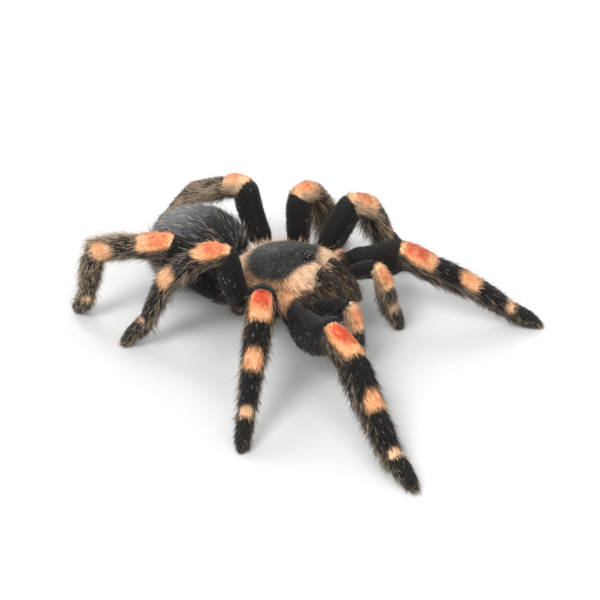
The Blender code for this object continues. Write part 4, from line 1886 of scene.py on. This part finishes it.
@dataclass(frozen=True)
class Studio:
    """The plain floor, the soft light and the camera. Lengths are in metres, angles in degrees."""

    azimuth: float = -59.9
    elevation: float = 35.9
    distance: float = 0.3409
    lens: float = 73.97  # in millimetres
    clip_start: float = 0.01
    target: tuple[float, float, float] = (0.0128, 0.0043, 0.0)
    floor_size: float = 40.0
    floor_grey: float = 0.56
    floor_roughness: float = 0.7
    suns: tuple[Sun, ...] = (
        Sun("key", around=-40, rise=52, spread=25, strength=2.3),
        Sun("fill", around=25, rise=32, spread=40, strength=0.9),
        Sun("rim", around=-150, rise=50, spread=20, strength=0.8))
    sky: Colour = (1.0, 1.0, 1.0)
    sky_strength: float = 1.0

    def floor(self) -> bpy.types.Object:
        """Makes a wide pale floor.

        Returns:
            The floor.
        """
        form = bmesh.new()
        bmesh.ops.create_grid(form, x_segments=1, y_segments=1, size=self.floor_size / 2)
        floor = new_object("floor", form)
        material = bpy.data.materials.new("pale_floor")
        material.use_nodes = True
        shader = material.node_tree.nodes["Principled BSDF"]
        shader.inputs["Base Color"].default_value = (*[self.floor_grey] * 3, OPAQUE)
        shader.inputs["Roughness"].default_value = self.floor_roughness
        floor.data.materials.append(material)
        return floor

    @staticmethod
    def place(item: bpy.types.Object, target: Vector, azimuth: float, elevation: float,
              distance: float) -> None:
        """Places an object so that it looks at a target, and links it to the scene.

        Args:
            item: The object, which looks along its -Z.
            target: What it looks at.
            azimuth: How far round from the head's side it is.
            elevation: How far above the floor it is, as an angle.
            distance: How far it is from the target.
        """
        around, rise = math.radians(azimuth), math.radians(elevation)
        back = Vector((math.sin(around) * math.cos(rise), -math.cos(around) * math.cos(rise), math.sin(rise)))
        item.location = target + back * distance
        item.rotation_euler = (-back).to_track_quat("-Z", "Y").to_euler()
        bpy.context.scene.collection.objects.link(item)

    def camera(self) -> None:
        """Aims the camera at the spider from its front right, above."""
        camera = bpy.data.objects.new("camera", bpy.data.cameras.new("camera"))
        camera.data.lens = self.lens
        camera.data.clip_start = self.clip_start
        self.place(camera, Vector(self.target), self.azimuth, self.elevation, self.distance)
        bpy.context.scene.camera = camera

    def light(self) -> None:
        """Lights the set: a bright sky, a soft key from the left, a weaker fill and a light from behind."""
        world = bpy.data.worlds.new("studio")
        world.use_nodes = True
        background = world.node_tree.nodes["Background"]
        background.inputs["Color"].default_value = (*self.sky, OPAQUE)
        background.inputs["Strength"].default_value = self.sky_strength
        bpy.context.scene.world = world
        for sun in self.suns:
            light = bpy.data.lights.new(sun.name, "SUN")
            light.angle = math.radians(sun.spread)
            light.energy = sun.strength
            lamp = bpy.data.objects.new(sun.name, light)
            self.place(lamp, Vector(), self.azimuth + sun.around, sun.rise, 1.0)

    def build(self) -> None:
        """Sets up floor, light and camera."""
        self.floor()
        self.light()
        self.camera()
        bpy.context.scene.view_settings.view_transform = "Standard"


@dataclass(frozen=True)
class CoatPiece:
    """What one piece of the coat covers, with its finish and its slot."""

    name: str
    parts: list[Part]
    finish: CoatFinish
    slot: str


def coat_pieces(anatomy: Anatomy) -> list[CoatPiece]:
    """Lists the pieces of the coat.

    Args:
        anatomy: The spider's parts.

    Returns:
        The pieces, in the order in which they grow.
    """
    parts = anatomy.parts
    palps = [part for side in SIDES for part in anatomy.limb(PALP_PAIR, side)]
    jaws = [parts[f"chelicera_{side}"] for side in SIDES]
    underside = [parts["underbody"], parts["spinneret_left"], parts["spinneret_right"]]
    legs = [CoatPiece(f"coat_leg{pair}_{side}", anatomy.limb(pair, side), LEG_HAIR, "black_coat")
            for pair in LEG_PAIRS for side in SIDES]
    return legs + [
        CoatPiece("coat_palps", palps, LEG_HAIR, "black_coat"),
        CoatPiece("coat_carapace", [parts["carapace"]], SHIELD_HAIR, "buff_shield"),
        CoatPiece("coat_abdomen", [parts["abdomen"]], ABDOMEN_HAIR, "black_coat"),
        CoatPiece("coat_jaws", jaws, JAW_HAIR, "brown_coat"),
        CoatPiece("coat_underside", underside, UNDER_HAIR, "brown_coat"),
    ]


def dress(item: bpy.types.Object, material: bpy.types.Material) -> bpy.types.Object:
    """Gives a piece its material and the body that it rides on.

    Args:
        item: The piece.
        material: Its material.

    Returns:
        The piece.
    """
    item.data.materials.clear()
    item.data.materials.append(material)
    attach(item, ROOT_BODY)
    log.info("%s: %d faces", item.name, len(item.data.polygons))
    return item


def main() -> None:
    """Builds every piece in order."""
    logging.basicConfig(level=logging.INFO, format="%(name)s: %(message)s")
    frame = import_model()
    random = np.random.default_rng(SEED)
    anatomy = Anatomy(frame["nodes"])
    skin = Skin(anatomy).build()
    skin_map = SkinMap(skin, anatomy)
    skin_map.write_markings(random)
    dress(skin, SKIN_FINISH.material())
    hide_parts(*(part.name for part in anatomy.flesh))
    coat = Coat(skin_map, anatomy, random)
    for piece in coat_pieces(anatomy):
        material = bpy.data.materials.get(piece.finish.name) or piece.finish.material()
        dress(coat.piece(piece.name, piece.parts), material)
    eyes = dress(Eyes(anatomy).build(), EYE_FINISH.material())
    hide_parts("eye_mound")
    horn = FANG_FINISH.material()
    for side in SIDES:
        fang = dress(Fangs(anatomy).build(side), horn)
        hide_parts(f"fang_{side}")
    dress(Claws(anatomy).build(), horn)
    Studio().build()


if __name__ == "__main__":
    main()
